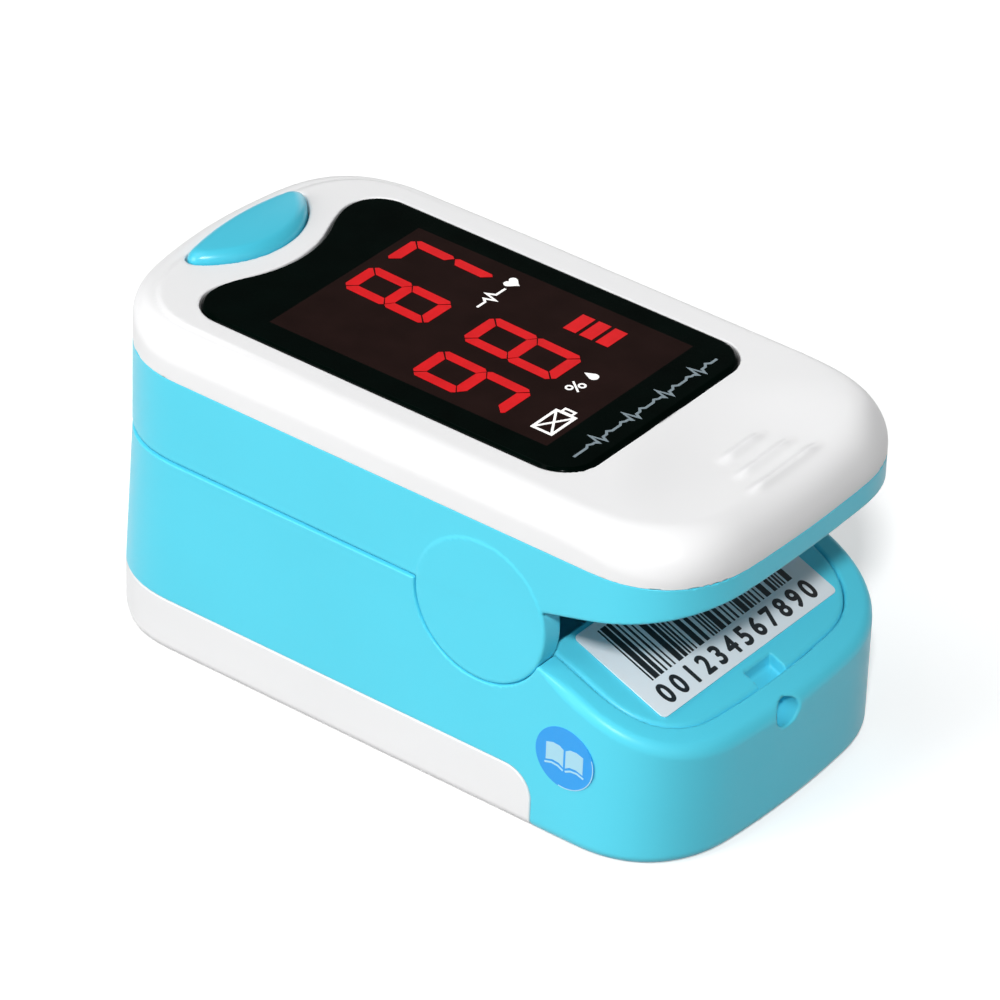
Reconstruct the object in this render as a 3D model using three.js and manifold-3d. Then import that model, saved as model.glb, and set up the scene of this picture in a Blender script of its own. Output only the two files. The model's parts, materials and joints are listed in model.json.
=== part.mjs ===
// Fingertip pulse oximeter: two spring-hinged jaws, a lit display on top, two AAA cells below.
// Millimetres, +Z up. The finger enters from -X; the two tails that are squeezed are at +X.
// The origin is under the middle of the body, on the surface that it rests on.
import * as THREE from 'three';
import { mergeVertices } from 'three/addons/utils/BufferGeometryUtils.js';
import Module from 'manifold-3d';

const wasm = await Module();
wasm.setup();

// ---- Driving dimensions ----
const LOWER = { start: -29.3, end: 29.3, half: 16.05, startBow: 1.0, endBow: 1.6 };
const UPPER = { start: -29.3, end: 29.3, half: 15.75, startBow: 2.3, endBow: 1.0 };
const CORNER = 9;            // plan corner of the cases
const CORNER_POWER = 2.5;    // superellipse power of that corner
const CORNER_STEPS = 6;
const LEAN = 0.7;            // how far the lower case's finger end leans back by the jaw seam
const WALL = 1.6;
const SLIT = 0.15;           // half of a visible joint line
const BATTERY_LINE = 5.0;    // joint of battery cover and lower case
const JAW_SEAM = 18.0;       // joint of the two jaws
const COVER_SEAM = 25.5;     // joint of upper case and top cover
const TOP = 29.45;
const BATTERY_DOOR_END = 15.9;
const HINGE = { x: 10.3, z: 17.67 };
const EAR_RADIUS = 6.23;
const EAR_INNER = 13.85;     // inner face of the ear discs
const PIN_RADIUS = 1.2;
const RUNNING = 0.05;        // clearance of the pins
const TAIL_DROP = 0.3975;    // slope of the lower tail's top face
const TAIL_RISE = 0.268;     // slope of the upper tail's underside
const PAD = 1.2;             // rubber thickness
const CHANNEL = { start: -28.2, stop: 6.2, low: 14.2, high: 21.7 };
const MOUTH = { half: 10, end: -25.8 };
const SENSOR_X = -10;
const CELL = { radius: 5.15, length: 44.1, offset: 5.4, z: 6.4, nub: 1.9, nubLength: 1.1 };
const BAY = { start: -26.3, end: 20.3, half: 11.0, top: 11.8 };
const LENS = { start: -22.75, end: 15.75, half: 11.7, corner: 3.2, bottom: 28.4, top: 29.6 };
const BUTTON = { centre: -31.5, radius: 8.6, edge: -27.2, tip: 1.2, bottom: 27.25, top: 30 };
const BITE = BUTTON.radius + 2.65;
const BOARD = { bottom: 24.9, top: 25.9, end: 15.2 };

const tailTop = (x) => 14.85 - TAIL_DROP * (x - 16.7);
const tailUnder = (x) => 20.05 + TAIL_RISE * (x - 16.57);

// ---- Finishes ----
const plastic = (color, roughness) => new THREE.MeshStandardMaterial({ color, roughness });
const metal = (color, roughness) => new THREE.MeshStandardMaterial({ color, roughness, metalness: 1 });
const WHITE = plastic(0xf5f6f6, 0.32);
const BLUE = plastic(0x62d6f2, 0.34);
const BUTTON_BLUE = plastic(0x44bcdc, 0.3);
const GLOSS_BLACK = plastic(0x040807, 0.08);
const DARK_RESIN = plastic(0x21140f, 0.4);
const RUBBER = plastic(0x35393c, 0.8);
const CIRCUIT = plastic(0x1c6b43, 0.5);
const CHIP = plastic(0x17181a, 0.55);
const CLEAR = plastic(0xb9343a, 0.15);
const PAPER = plastic(0xe9edef, 0.5);
const STICKER = plastic(0x2f86e8, 0.35);
const CELL_WRAP = plastic(0x3a5f4a, 0.35);
const FLEX = plastic(0xc7772a, 0.45);
const STEEL = metal(0xb9bcc0, 0.3);
const NICKEL = metal(0xcfd0cc, 0.25);

// ---- Solids ----
function solid(geometry) {
  const bare = geometry.index ? geometry.toNonIndexed() : geometry;
  bare.deleteAttribute('normal');
  bare.deleteAttribute('uv');
  const merged = mergeVertices(bare, 1e-4);
  return new wasm.Manifold(new wasm.Mesh({
    numProp: 3,
    vertProperties: merged.attributes.position.array,
    triVerts: merged.index.array,
  }));
}

const join = (...pieces) => pieces.reduce((whole, piece) => whole.add(piece));
const cut = (whole, ...tools) => tools.reduce((left, tool) => left.subtract(tool), whole);
const SIDES = [-1, 1];
const inOrder = (a, b) => [Math.min(a, b), Math.max(a, b)];
const bothSides = (make) => join(...SIDES.map(make));

function box([x0, x1], [y0, y1], [z0, z1]) {
  const block = new THREE.BoxGeometry(x1 - x0, y1 - y0, z1 - z0);
  return solid(block.translate((x0 + x1) / 2, (y0 + y1) / 2, (z0 + z1) / 2));
}

function extrude(shape, depth, curveSegments = 12) {
  return new THREE.ExtrudeGeometry(shape, { depth, bevelEnabled: false, curveSegments });
}

function upright(shape, z0, z1, segments) {
  return solid(extrude(shape, z1 - z0, segments).translate(0, 0, z0));
}

// A shape drawn in X and Z, taken across the body from y0 to y1.
function acrossY(shape, y0, y1, segments) {
  return solid(extrude(shape, y1 - y0, segments).rotateX(Math.PI / 2).translate(0, y1, 0));
}

// A shape drawn in Y and Z, taken along the body from x0 to x1.
function alongX(shape, x0, x1, segments) {
  const turn = new THREE.Matrix4().makeBasis(
    new THREE.Vector3(0, 1, 0), new THREE.Vector3(0, 0, 1), new THREE.Vector3(1, 0, 0),
  );
  return solid(extrude(shape, x1 - x0, segments).applyMatrix4(turn).translate(x0, 0, 0));
}

function rodY(x, z, radius, y0, y1, segments = 24) {
  const rod = new THREE.CylinderGeometry(radius, radius, Math.abs(y1 - y0), segments);
  return solid(rod.translate(x, (y0 + y1) / 2, z));
}

function rodZ(x, y, radius, z0, z1, segments = 12) {
  const rod = new THREE.CylinderGeometry(radius, radius, z1 - z0, segments).rotateX(Math.PI / 2);
  return solid(rod.translate(x, y, (z0 + z1) / 2));
}

const polygon = (points) => new THREE.Shape(points.map(([a, b]) => new THREE.Vector2(a, b)));

// Plan of a case: straight sides, soft superelliptic corners and slightly bowed ends.
function casePlan(plan, inset = 0) {
  const start = plan.start + inset;
  const end = plan.end - inset;
  const half = plan.half - inset;
  const corner = CORNER - inset;
  const middle = (start + end) / 2;
  const soft = (value) => Math.sign(value) * Math.abs(value) ** (2 / CORNER_POWER);
  const points = [];
  const place = (x, y) => {
    const reach = x > middle ? (x - middle) / (end - middle) : (middle - x) / (middle - start);
    const pull = (y / half) ** 2 * reach ** 2;
    points.push(new THREE.Vector2(x > middle ? x - plan.endBow * pull : x + plan.startBow * pull, y));
  };
  for (let quarter = 0; quarter < 4; quarter += 1) {
    const cx = quarter < 2 ? end - corner : start + corner;
    const cy = quarter === 1 || quarter === 2 ? half - corner : corner - half;
    for (let step = 0; step <= CORNER_STEPS; step += 1) {
      const angle = (quarter - 1 + step / CORNER_STEPS) * Math.PI / 2;
      place(cx + corner * soft(Math.cos(angle)), cy + corner * soft(Math.sin(angle)));
    }
    if (quarter % 2 === 0) {
      const x = quarter === 0 ? end : start;
      const sign = quarter === 0 ? 1 : -1;
      for (const share of [-0.5, 0, 0.5]) place(x, sign * share * (half - corner));
    }
  }
  return new THREE.Shape(points);
}

// A block of a case's plan. The finger end of the lower case leans back above the battery cover.
function caseBlock(plan, inset, z0, z1, lean = 0) {
  const geometry = extrude(casePlan(plan, inset), z1 - z0).translate(0, 0, z0);
  const place = geometry.attributes.position;
  for (let i = 0; i < place.count; i += 1) {
    const x = place.getX(i);
    const height = (place.getZ(i) - BATTERY_LINE) / (JAW_SEAM - BATTERY_LINE);
    if (x < 0 && height > 0) place.setX(i, x * (1 + lean * height / plan.start));
  }
  return solid(geometry);
}

// The same block with rounded edges at both ends.
function softBlock(plan, inset, z0, z1, edge, bevelSegments) {
  const geometry = new THREE.ExtrudeGeometry(casePlan(plan, inset), {
    depth: z1 - z0 - 2 * edge,
    bevelEnabled: true,
    bevelThickness: edge,
    bevelSize: edge,
    bevelOffset: -edge,
    bevelSegments,
  });
  return solid(geometry.translate(0, 0, z0 + edge));
}

// ---- The parts' own outlines ----
const FAR = 40;
const PAST_TAIL = 31;

// Everything on the tail side, or on the finger side, of a cross plane.
const beyond = (x) => box([x, FAR], [-FAR, FAR], [-FAR, FAR]);
const before = (x) => box([-FAR, x], [-FAR, FAR], [-FAR, FAR]);
const above = (z) => box([-FAR, FAR], [-FAR, FAR], [z, FAR]);

// Everything under the jaw seam and under the lower tail's sloped face, lowered by depth.
const lowerSide = (depth = 0) => acrossY(polygon([
  [-FAR, -1], [FAR, -1], [FAR, tailTop(FAR) - depth], [HINGE.x, tailTop(HINGE.x) - depth],
  [HINGE.x, JAW_SEAM - SLIT - depth], [-FAR, JAW_SEAM - SLIT - depth],
]), -FAR, FAR);

// Everything over the jaw seam and over the upper tail's underside.
const upperSide = (top) => acrossY(polygon([
  [-FAR, JAW_SEAM + SLIT], [HINGE.x, JAW_SEAM + SLIT], [HINGE.x, tailUnder(HINGE.x)],
  [PAST_TAIL, tailUnder(PAST_TAIL)], [PAST_TAIL, top], [-FAR, top],
]), -FAR, FAR);

// The battery cover's side: its upper tail corner is round.
function doorSide(grow) {
  const radius = 2.5;
  const x = BATTERY_DOOR_END + grow;
  const z = BATTERY_LINE + grow;
  const side = new THREE.Shape();
  side.moveTo(-FAR, -1);
  side.lineTo(x, -1);
  side.lineTo(x, z - radius);
  side.absarc(x - radius, z - radius, radius, 0, Math.PI / 2, false);
  side.lineTo(-FAR, z);
  return acrossY(side, -FAR, FAR, 5);
}

// A slice of a sloped tail plate between two offsets from its outer face.
const slopedBand = (face, x0, x1, low, high) => acrossY(polygon([
  [x0, face(x0) + low], [x1, face(x1) + low], [x1, face(x1) + high], [x0, face(x0) + high],
]), -FAR, FAR);

// Section of a finger pad: an arc with a flange on each side. side is -1 below, 1 above.
const padRadius = (side) => (side < 0 ? 17.8 : 19.5);
const padCentre = (side) => (side < 0 ? CHANNEL.low + padRadius(side) : CHANNEL.high - padRadius(side));
const padFace = (side) => JAW_SEAM + side * 0.3;

function arcWithFlanges(side, radius, flange, reach) {
  const centre = padCentre(side);
  const swing = Math.acos(Math.abs(flange - centre) / radius);
  const middle = side * Math.PI / 2;
  return { centre, radius, from: middle - swing, to: middle + swing, flange, reach };
}

// The pad's wall as a closed band between its finger side and its back.
function padSection(side) {
  const finger = arcWithFlanges(side, padRadius(side), padFace(side), 13.9);
  const back = arcWithFlanges(side, padRadius(side) + PAD, padFace(side) + side * PAD, 13.9);
  return bandSection(finger, back);
}

function bandSection(inner, outer) {
  const section = new THREE.Shape();
  section.moveTo(Math.sign(Math.cos(inner.from)) * inner.reach, inner.flange);
  section.absarc(0, inner.centre, inner.radius, inner.from, inner.to, false);
  section.lineTo(Math.sign(Math.cos(inner.to)) * inner.reach, inner.flange);
  section.lineTo(Math.sign(Math.cos(outer.to)) * outer.reach, outer.flange);
  section.absarc(0, outer.centre, outer.radius, outer.to, outer.from, true);
  section.lineTo(Math.sign(Math.cos(outer.from)) * outer.reach, outer.flange);
  return section;
}

// The space that a pad's back and flanges fill, grown by gap and open towards the seam.
function padHollow(side, gap) {
  const depth = PAD + gap;
  const back = arcWithFlanges(side, padRadius(side) + depth, padFace(side) + side * depth, 13.9 + gap);
  const section = new THREE.Shape();
  const right = Math.sign(Math.cos(back.from)) * back.reach;
  section.moveTo(right, padFace(side) - side * 3);
  section.lineTo(right, back.flange);
  section.absarc(0, back.centre, back.radius, back.from, back.to, false);
  section.lineTo(-right, back.flange);
  section.lineTo(-right, padFace(side) - side * 3);
  return section;
}

// The opening through a case's finger-end wall.
const mouth = (side) => alongX(padHollow(side, 0.1), -FAR, MOUTH.end, 12)
  .intersect(box([-FAR, FAR], [-MOUTH.half, MOUTH.half], [0, FAR]));

// Screen cover: round corners and a bite that leaves room for the button.
function lensPlan(grow) {
  const { corner, half, end } = LENS;
  const tip = 1.2;
  const tipX = LENS.start + tip;
  const tipY = Math.sqrt((BITE + tip) ** 2 - (tipX - BUTTON.centre) ** 2);
  const biteAngle = Math.atan2(tipY, tipX - BUTTON.centre);
  const plan = new THREE.Shape();
  const r = corner + grow;
  plan.absarc(end - corner, corner - half, r, -Math.PI / 2, 0, false);
  plan.absarc(end - corner, half - corner, r, 0, Math.PI / 2, false);
  plan.absarc(LENS.start + corner, half - corner, r, Math.PI / 2, Math.PI, false);
  plan.absarc(tipX, tipY, tip + grow, Math.PI, Math.PI + biteAngle, false);
  plan.absarc(BUTTON.centre, 0, BITE - grow, biteAngle, -biteAngle, true);
  plan.absarc(tipX, -tipY, tip + grow, Math.PI - biteAngle, Math.PI, false);
  plan.absarc(LENS.start + corner, corner - half, r, Math.PI, 1.5 * Math.PI, false);
  return plan;
}

// Button: a straight edge towards the finger end and a round edge towards the screen.
function buttonPlan(grow) {
  const { centre, radius, edge, tip } = BUTTON;
  const tipX = edge + tip;
  const tipY = Math.sqrt((radius - tip) ** 2 - (tipX - centre) ** 2);
  const turn = Math.atan2(tipY, tipX - centre);
  const plan = new THREE.Shape();
  plan.absarc(centre, 0, radius + grow, -turn, turn, false);
  plan.absarc(tipX, tipY, tip + grow, turn, Math.PI, false);
  plan.absarc(tipX, -tipY, tip + grow, Math.PI, 2 * Math.PI - turn, false);
  return plan;
}

// Round wire swept along a curve.
function wire(curve, radius, steps, sides = 6) {
  const section = new THREE.Shape();
  section.absarc(0, 0, radius, 0, 2 * Math.PI, false);
  return solid(new THREE.ExtrudeGeometry(section, {
    steps, extrudePath: curve, bevelEnabled: false, curveSegments: sides / 2,
  }));
}

// ---- The assembly ----
const oximeter = new THREE.Group();

function add(name, piece, material) {
  const mesh = piece.getMesh();
  const geometry = new THREE.BufferGeometry();
  geometry.setAttribute('position', new THREE.BufferAttribute(mesh.vertProperties, 3));
  geometry.setIndex(new THREE.BufferAttribute(mesh.triVerts, 1));
  geometry.computeVertexNormals();
  const part = new THREE.Mesh(geometry, material);
  part.name = name;
  oximeter.add(part);
}

const sideName = (side) => (side < 0 ? 'left' : 'right');
const FRAME_SCREWS = [[-18, -13.25], [-18, 13.25], [-2, -13.25], [-2, 13.25]];
const BOARD_SCREWS = [[-20.5, -12.1], [-20.5, 12.1], [13.4, -10.6], [13.4, 10.6]];
const LANYARD = { half: 1.6, start: 25.3, end: 27.2, low: 7.9, high: 9.6 };
const TONGUE = { inner: 11.4, outer: 14, low: 0.6, high: 1.1, end: 17.5 };
const CELL_FLOOR = 1.15;
const SWITCH_X = -24.1;
const STICKER_DISC = { x: 19, z: 8, radius: 2.75, thick: 0.12 };
const LABEL = { start: 16.4, end: 24.7, half: 11.3, thick: 0.12 };

// The battery cover's two tongues, which slide into pockets in the tail's floor.
function tongues(gap) {
  return bothSides((side) => box(
    [BATTERY_DOOR_END - 2, TONGUE.end + 2 * gap],
    inOrder(side * (TONGUE.inner - gap), side * (TONGUE.outer + gap)),
    [TONGUE.low - gap, TONGUE.high + gap],
  ));
}

// Lower case: the blue tub, closed and weighted at its tail, with a cheek beside each hinge ear.
function lowerShell() {
  const cheek = { start: 3.5, end: 17, inner: 12.1, outer: 14.8, low: 6 };
  const floor = BATTERY_LINE + SLIT + 1.2;
  const outer = cut(
    softBlock(LOWER, 0, 0, 24, 0.8, 2).intersect(caseBlock(LOWER, 0, -1, FAR, LEAN)),
    doorSide(SLIT / 2),
    caseBlock(LOWER, WALL, floor, FAR, LEAN).intersect(before(14)),
    box([BAY.start - 1, BATTERY_DOOR_END], [-12.15, 12.15], [4, floor + 1]),
    box([13.9, BAY.end + 1], [-12.15, 12.15], [WALL, FAR]),
    box([13.9, BAY.end + 0.5], [-10.9, 10.9], [CELL_FLOOR, FAR]),
    caseBlock(LOWER, WALL, WALL, FAR).intersect(lowerSide(2.6)).intersect(beyond(17.5)),
    caseBlock(LOWER, 2.3, 9, FAR).intersect(beyond(13.9)),
  );
  const cheeks = bothSides((side) => box(
    [cheek.start, cheek.end], inOrder(side * cheek.inner, side * cheek.outer), [cheek.low, FAR],
  )).intersect(lowerSide());
  const knuckles = bothSides((side) => rodY(HINGE.x, HINGE.z, 4, side * cheek.inner, side * 13.55));
  const earRoom = bothSides((side) => rodY(
    HINGE.x, HINGE.z, EAR_RADIUS + SLIT, side * 13.7, side * 18, 40,
  ));
  return cut(
    join(cut(outer.intersect(lowerSide()).add(cheeks), earRoom), knuckles),
    bothSides((side) => rodY(HINGE.x, HINGE.z, PIN_RADIUS + RUNNING, side * 11, side * 14)),
    mouth(-1),
    box([LANYARD.end - 1, FAR], [-LANYARD.half + 0.1, LANYARD.half - 0.1], [LANYARD.low, LANYARD.high]),
    tongues(0.15),
    rodY(STICKER_DISC.x, STICKER_DISC.z, STICKER_DISC.radius + 0.1, -LOWER.half - 1,
      -LOWER.half + STICKER_DISC.thick + 0.03),
    ...FRAME_SCREWS.map(([x, y]) => rodZ(x, y, 0.75, 4, floor + 1)),
  );
}

// Battery holder and finger platform in one moulding, with the sloped tail plate.
function lowerFrame() {
  const skin = 0.8;
  const bay = cut(
    box([BAY.start - skin, BAY.end + skin], [-12, 12], [1.7, BAY.top + skin])
      .intersect(caseBlock(LOWER, WALL + SLIT, 0, FAR, LEAN)),
    box([BAY.start, BAY.end], [-BAY.half, BAY.half], [0, BAY.top])
      .intersect(caseBlock(LOWER, 2.3, 0, FAR, LEAN)),
  );
  const plate = cut(
    caseBlock(LOWER, 2.45, 8, 20).intersect(slopedBand(tailTop, 15.2, FAR, -1.3, 0)),
    box([0, 17.15], [12, FAR], [0, FAR]),
    box([0, 17.15], [-FAR, -12], [0, FAR]),
    box([LANYARD.start, LANYARD.end + 2], [-LANYARD.half, LANYARD.half], [0, FAR]),
  );
  const riser = slopedBand(tailTop, 15.2, 16.4, -4, -0.5).intersect(box([0, FAR], [-12, 12], [12, FAR]));
  const bosses = join(...FRAME_SCREWS.map(([x, y]) => join(
    rodZ(x, y, 1.15, 6.45, 10.6),
    box([x - 0.8, x + 0.8], inOrder(Math.sign(y) * 11.8, y), [6.45, 10.6]),
  )));
  const springWindows = bothSides((side) => box(
    [15, 16.6], inOrder(side * 6.9, side * 10.7), [12.65, 14.7],
  ));
  return cut(
    join(bay, plate, cut(riser, springWindows), bosses),
    ...FRAME_SCREWS.map(([x, y]) => rodZ(x, y, 0.7, 6, 9.6)),
    box([SENSOR_X - 5, SENSOR_X + 5], [-4.6, 4.6], [BAY.top - 1, BAY.top + 2]),
  );
}

// White cover: closes the battery bay and wraps up round the finger end.
function batteryCover() {
  const side = softBlock(LOWER, 0, 0, 24, 0.8, 2).intersect(doorSide(-SLIT / 2));
  const tray = cut(side, caseBlock(LOWER, 1.5, TONGUE.high, FAR));
  return tray.add(tongues(0));
}

// One AAA cell, its nub at +X (towards = 1) or at -X.
function cell(y, start, towards) {
  const { radius, length, nub, nubLength } = CELL;
  const profile = [
    [0, 0], [radius - 0.4, 0], [radius, 0.4], [radius, length - nubLength - 0.4],
    [radius - 0.4, length - nubLength], [nub, length - nubLength], [nub, length], [0, length],
  ].map(([r, along]) => new THREE.Vector2(r, along));
  const turned = new THREE.LatheGeometry(profile, 24).rotateZ(-towards * Math.PI / 2);
  return solid(turned.translate(towards > 0 ? start : start + length, y, CELL.z));
}

// Conical contact spring between x0 and x1.
function contactSpring(y, x0, x1) {
  const radius = 0.22;
  class Cone extends THREE.Curve {
    getPoint(t) {
      const angle = t * 2.5 * 2 * Math.PI;
      const reach = 3.2 - 1.5 * t;
      const x = x0 + radius * 1.3 + (x1 - x0 - radius * 2.6) * t;
      return new THREE.Vector3(x, y + reach * Math.cos(angle), CELL.z + reach * Math.sin(angle));
    }
  }
  return wire(new Cone(), radius, 30, 6);
}

// Torsion spring on a hinge pin. Its arms push the two tails apart.
function torsionSpring(side) {
  const coil = { radius: 1.9, wire: 0.25, turns: 3, width: 2.4, start: 7.6 };
  const arm = 6.6;
  const share = 0.18;
  class Torsion extends THREE.Curve {
    getPoint(t) {
      const spin = (coil.turns + 0.5) * 2 * Math.PI;
      const inside = THREE.MathUtils.clamp((t - share) / (1 - 2 * share), 0, 1);
      const before = Math.max(0, share - t) / share;
      const after = Math.max(0, t - 1 + share) / share;
      const angle = -Math.PI / 2 - spin * inside;
      const y = side * (coil.start + coil.width * inside);
      const run = arm * (before + after);
      return new THREE.Vector3(
        HINGE.x + coil.radius * Math.cos(angle) + run,
        y,
        HINGE.z + coil.radius * Math.sin(angle) - 0.4 * arm * before + 0.36 * arm * after,
      );
    }
  }
  return wire(new Torsion(), coil.wire, 52, 6);
}

function frameScrew([x, y]) {
  return join(rodZ(x, y, 1.15, 4.3, 5.0), rodZ(x, y, 0.6, 4.9, 9.4));
}

function boardScrew([x, y]) {
  return join(rodZ(x, y, 1.1, 24.2, 24.8), rodZ(x, y, 0.5, 24.7, 27.6));
}

// Rubber finger pad with a stop at its blind end and a hole for the light.
function fingerPad(side, stop) {
  const plan = side < 0 ? LOWER : UPPER;
  const room = join(
    caseBlock(plan, WALL + 0.1, 10, 26, side < 0 ? LEAN : 0),
    box([CHANNEL.start, MOUTH.end + 1], [0.1 - MOUTH.half, MOUTH.half - 0.1], [10, 26]),
  );
  const lip = padFace(side) - side * 0.05;
  const end = arcWithFlanges(side, padRadius(side) + PAD / 2, lip + side * 0.6, 0);
  const wall = new THREE.Shape();
  wall.absarc(0, end.centre, end.radius, end.from, end.to, false);
  return cut(
    join(
      alongX(padSection(side), CHANNEL.start, stop, 12).intersect(room),
      alongX(wall, stop - PAD, stop, 12),
    ),
    ...SIDES.map((hand) => box([1.3, FAR], hand < 0 ? [-FAR, -11.9] : [11.9, FAR], [0, FAR])),
    rodZ(SENSOR_X, 0, 3.6, side < 0 ? 11 : 19, side < 0 ? 16 : 24, 20),
  );
}

// Upper case: blue band, finger arch, sloped tail plate and the two hinge ears.
function upperHousing() {
  const wall = 1.5;
  const archEnd = 5.5;
  const edge = COVER_SEAM - SLIT / 3;
  const shell = cut(
    caseBlock(UPPER, 0, 16, edge).intersect(upperSide(edge)),
    caseBlock(UPPER, wall, 10, FAR).intersect(before(15.5)),
    caseBlock(UPPER, wall, 10, FAR).intersect(slopedBand(tailUnder, 15.4, PAST_TAIL, 1.4, 20)),
    mouth(1),
  );
  const arch = bandSection(
    arcWithFlanges(1, padRadius(1) + PAD + 0.1, padFace(1) + PAD + 0.1, 14.5),
    arcWithFlanges(1, padRadius(1) + PAD + 1.1, padFace(1) + PAD + 1.1, 14.5),
  );
  const ears = bothSides((side) => rodY(
    HINGE.x, HINGE.z, EAR_RADIUS, side * EAR_INNER, side * UPPER.half, 40,
  ));
  const springBar = box([16.9, 18.3], [-14.4, 14.4], [22.75, 24.4]);
  const floor = cut(
    alongX(arch, -27.3, archEnd, 12).intersect(caseBlock(UPPER, wall / 2, 16, edge)),
    rodZ(SENSOR_X, 0, 3.6, 20, FAR, 20),
  );
  return cut(
    join(shell, floor, ears, springBar),
    bothSides((side) => rodY(HINGE.x, HINGE.z, PIN_RADIUS + RUNNING, side * 13, side * 15.05)),
  );
}

// White top: soft edges, screen seat, button opening, a shallow dip for the thumb, board posts.
function topCover() {
  const seat = LENS.bottom - 0.05;
  const under = 28;
  const thumb = new THREE.SphereGeometry(1, 40, 24).scale(14, 23, 6).translate(22.3, 0, TOP + 5.4);
  const skin = cut(
    softBlock(UPPER, 0.3, 15, TOP, 1.9, 3).intersect(above(COVER_SEAM + SLIT / 3)),
    caseBlock(UPPER, 1.9, 20, under),
    caseBlock(UPPER, 1.05, 20, under).intersect(box([-FAR, -20], [-7.6, 7.6], [0, FAR])),
    upright(lensPlan(0.12), seat, FAR, 8),
    box([-17.5, 12], [-10, 10], [20, FAR]),
    upright(buttonPlan(0.15), 20, FAR, 10),
    solid(thumb),
  );
  const posts = join(...BOARD_SCREWS.map(([x, y]) => rodZ(x, y, 1.3, BOARD.top + 0.1, under + 0.1)));
  return cut(join(skin, posts), ...BOARD_SCREWS.map(([x, y]) => rodZ(x, y, 0.6, 25, under - 0.2)));
}

function powerButton() {
  const { bottom, top, edge } = BUTTON;
  const soft = 0.6;
  const cap = new THREE.ExtrudeGeometry(buttonPlan(0), {
    depth: top - bottom,
    bevelEnabled: true,
    bevelThickness: soft,
    bevelSize: soft,
    bevelOffset: -soft,
    bevelSegments: 2,
    curveSegments: 10,
  }).translate(0, 0, bottom - soft);
  const flange = upright(buttonPlan(0.8), bottom, bottom + 0.65, 8);
  return cut(
    join(
      solid(cap).intersect(above(bottom + 0.3)),
      flange.intersect(beyond(edge + 0.08)),
    ),
    rodZ(SWITCH_X, 0, 1.1, 20, 28.35),
  );
}

function mainBoard() {
  const board = caseBlock(UPPER, 2.5, BOARD.bottom, BOARD.top).intersect(before(BOARD.end));
  return cut(board, ...BOARD_SCREWS.map(([x, y]) => rodZ(x, y, 0.6, 20, 30)));
}

// Flexible printed lead that carries the lower jaw's signals and power past the hinge.
function jawRibbon() {
  const thick = 0.25;
  const bend = 1.4;
  const low = 12.7;
  const high = BOARD.bottom - 0.1;
  const back = 7.8;
  const strip = new THREE.Shape();
  strip.moveTo(13, low);
  strip.absarc(back + bend, low + bend, bend, 1.5 * Math.PI, Math.PI, true);
  strip.absarc(back + bend, high - bend, bend, Math.PI, Math.PI / 2, true);
  strip.lineTo(13, high);
  strip.lineTo(13, high - thick);
  strip.absarc(back + bend, high - bend, bend - thick, Math.PI / 2, Math.PI, false);
  strip.absarc(back + bend, low + bend, bend - thick, Math.PI, 1.5 * Math.PI, false);
  strip.lineTo(13, low + thick);
  return acrossY(strip, -3, 3, 5);
}

// Lower jaw
add('lower_shell', lowerShell(), BLUE);
add('lower_frame', lowerFrame(), BLUE);
add('battery_cover', batteryCover(), WHITE);
add('lower_finger_pad', fingerPad(-1, CHANNEL.stop), RUBBER);
add('detector_board', join(
  box([SENSOR_X - 4.8, SENSOR_X + 4.8], [-4.4, 4.4], [11.75, 12.4]),
  box([SENSOR_X - 2, SENSOR_X + 2], [-1.6, 1.6], [12.3, 13.1]),
), CIRCUIT);
add('detector_window', rodZ(SENSOR_X, 0, 3.5, 13.2, CHANNEL.low, 20), CLEAR);

const PLATE = { thick: 0.4, gap: 0.03, half: 7.6, low: 2.6, high: 9.4 };
const SPRING_LENGTH = 1.6;
const firstContact = BAY.start + PLATE.thick;
const lastContact = BAY.end - PLATE.thick;
add('cell_left', cell(-CELL.offset, firstContact + SPRING_LENGTH + 0.05, 1), CELL_WRAP);
add('cell_right', cell(CELL.offset, firstContact + 0.05, -1), CELL_WRAP);
add('contact_spring_left', contactSpring(
  -CELL.offset, firstContact, firstContact + SPRING_LENGTH,
), STEEL);
add('contact_spring_right', contactSpring(
  CELL.offset, lastContact - SPRING_LENGTH, lastContact,
), STEEL);
add('cell_link_plate', box(
  [BAY.start + PLATE.gap, firstContact - PLATE.gap], [-PLATE.half, PLATE.half], [PLATE.low, PLATE.high],
), NICKEL);
for (const side of SIDES) {
  const y = side * CELL.offset;
  add(side < 0 ? 'terminal_positive' : 'terminal_negative', join(
    box([lastContact + PLATE.gap, BAY.end - PLATE.gap], [y - 4, y + 4], [PLATE.low, 11.7]),
    box([BAY.end - 3, BAY.end - PLATE.gap], [y - 1.5, y + 1.5], [11.62, 11.77]),
  ), NICKEL);
}

for (const side of SIDES) {
  add(`hinge_pin_${sideName(side)}`, rodY(HINGE.x, HINGE.z, PIN_RADIUS, side * 7, side * 15), STEEL);
  add(`torsion_spring_${sideName(side)}`, torsionSpring(side), STEEL);
}
FRAME_SCREWS.forEach((place, index) => add(`frame_screw_${index + 1}`, frameScrew(place), STEEL));

add('serial_label', slopedBand(tailTop, LABEL.start, LABEL.end, 0.02, 0.02 + LABEL.thick)
  .intersect(box([0, FAR], [-LABEL.half, LABEL.half], [0, FAR])), PAPER);
add('guide_sticker', rodY(STICKER_DISC.x, STICKER_DISC.z, STICKER_DISC.radius,
  -LOWER.half, -LOWER.half + STICKER_DISC.thick, 32), STICKER);
add('jaw_ribbon', jawRibbon(), FLEX);

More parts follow.
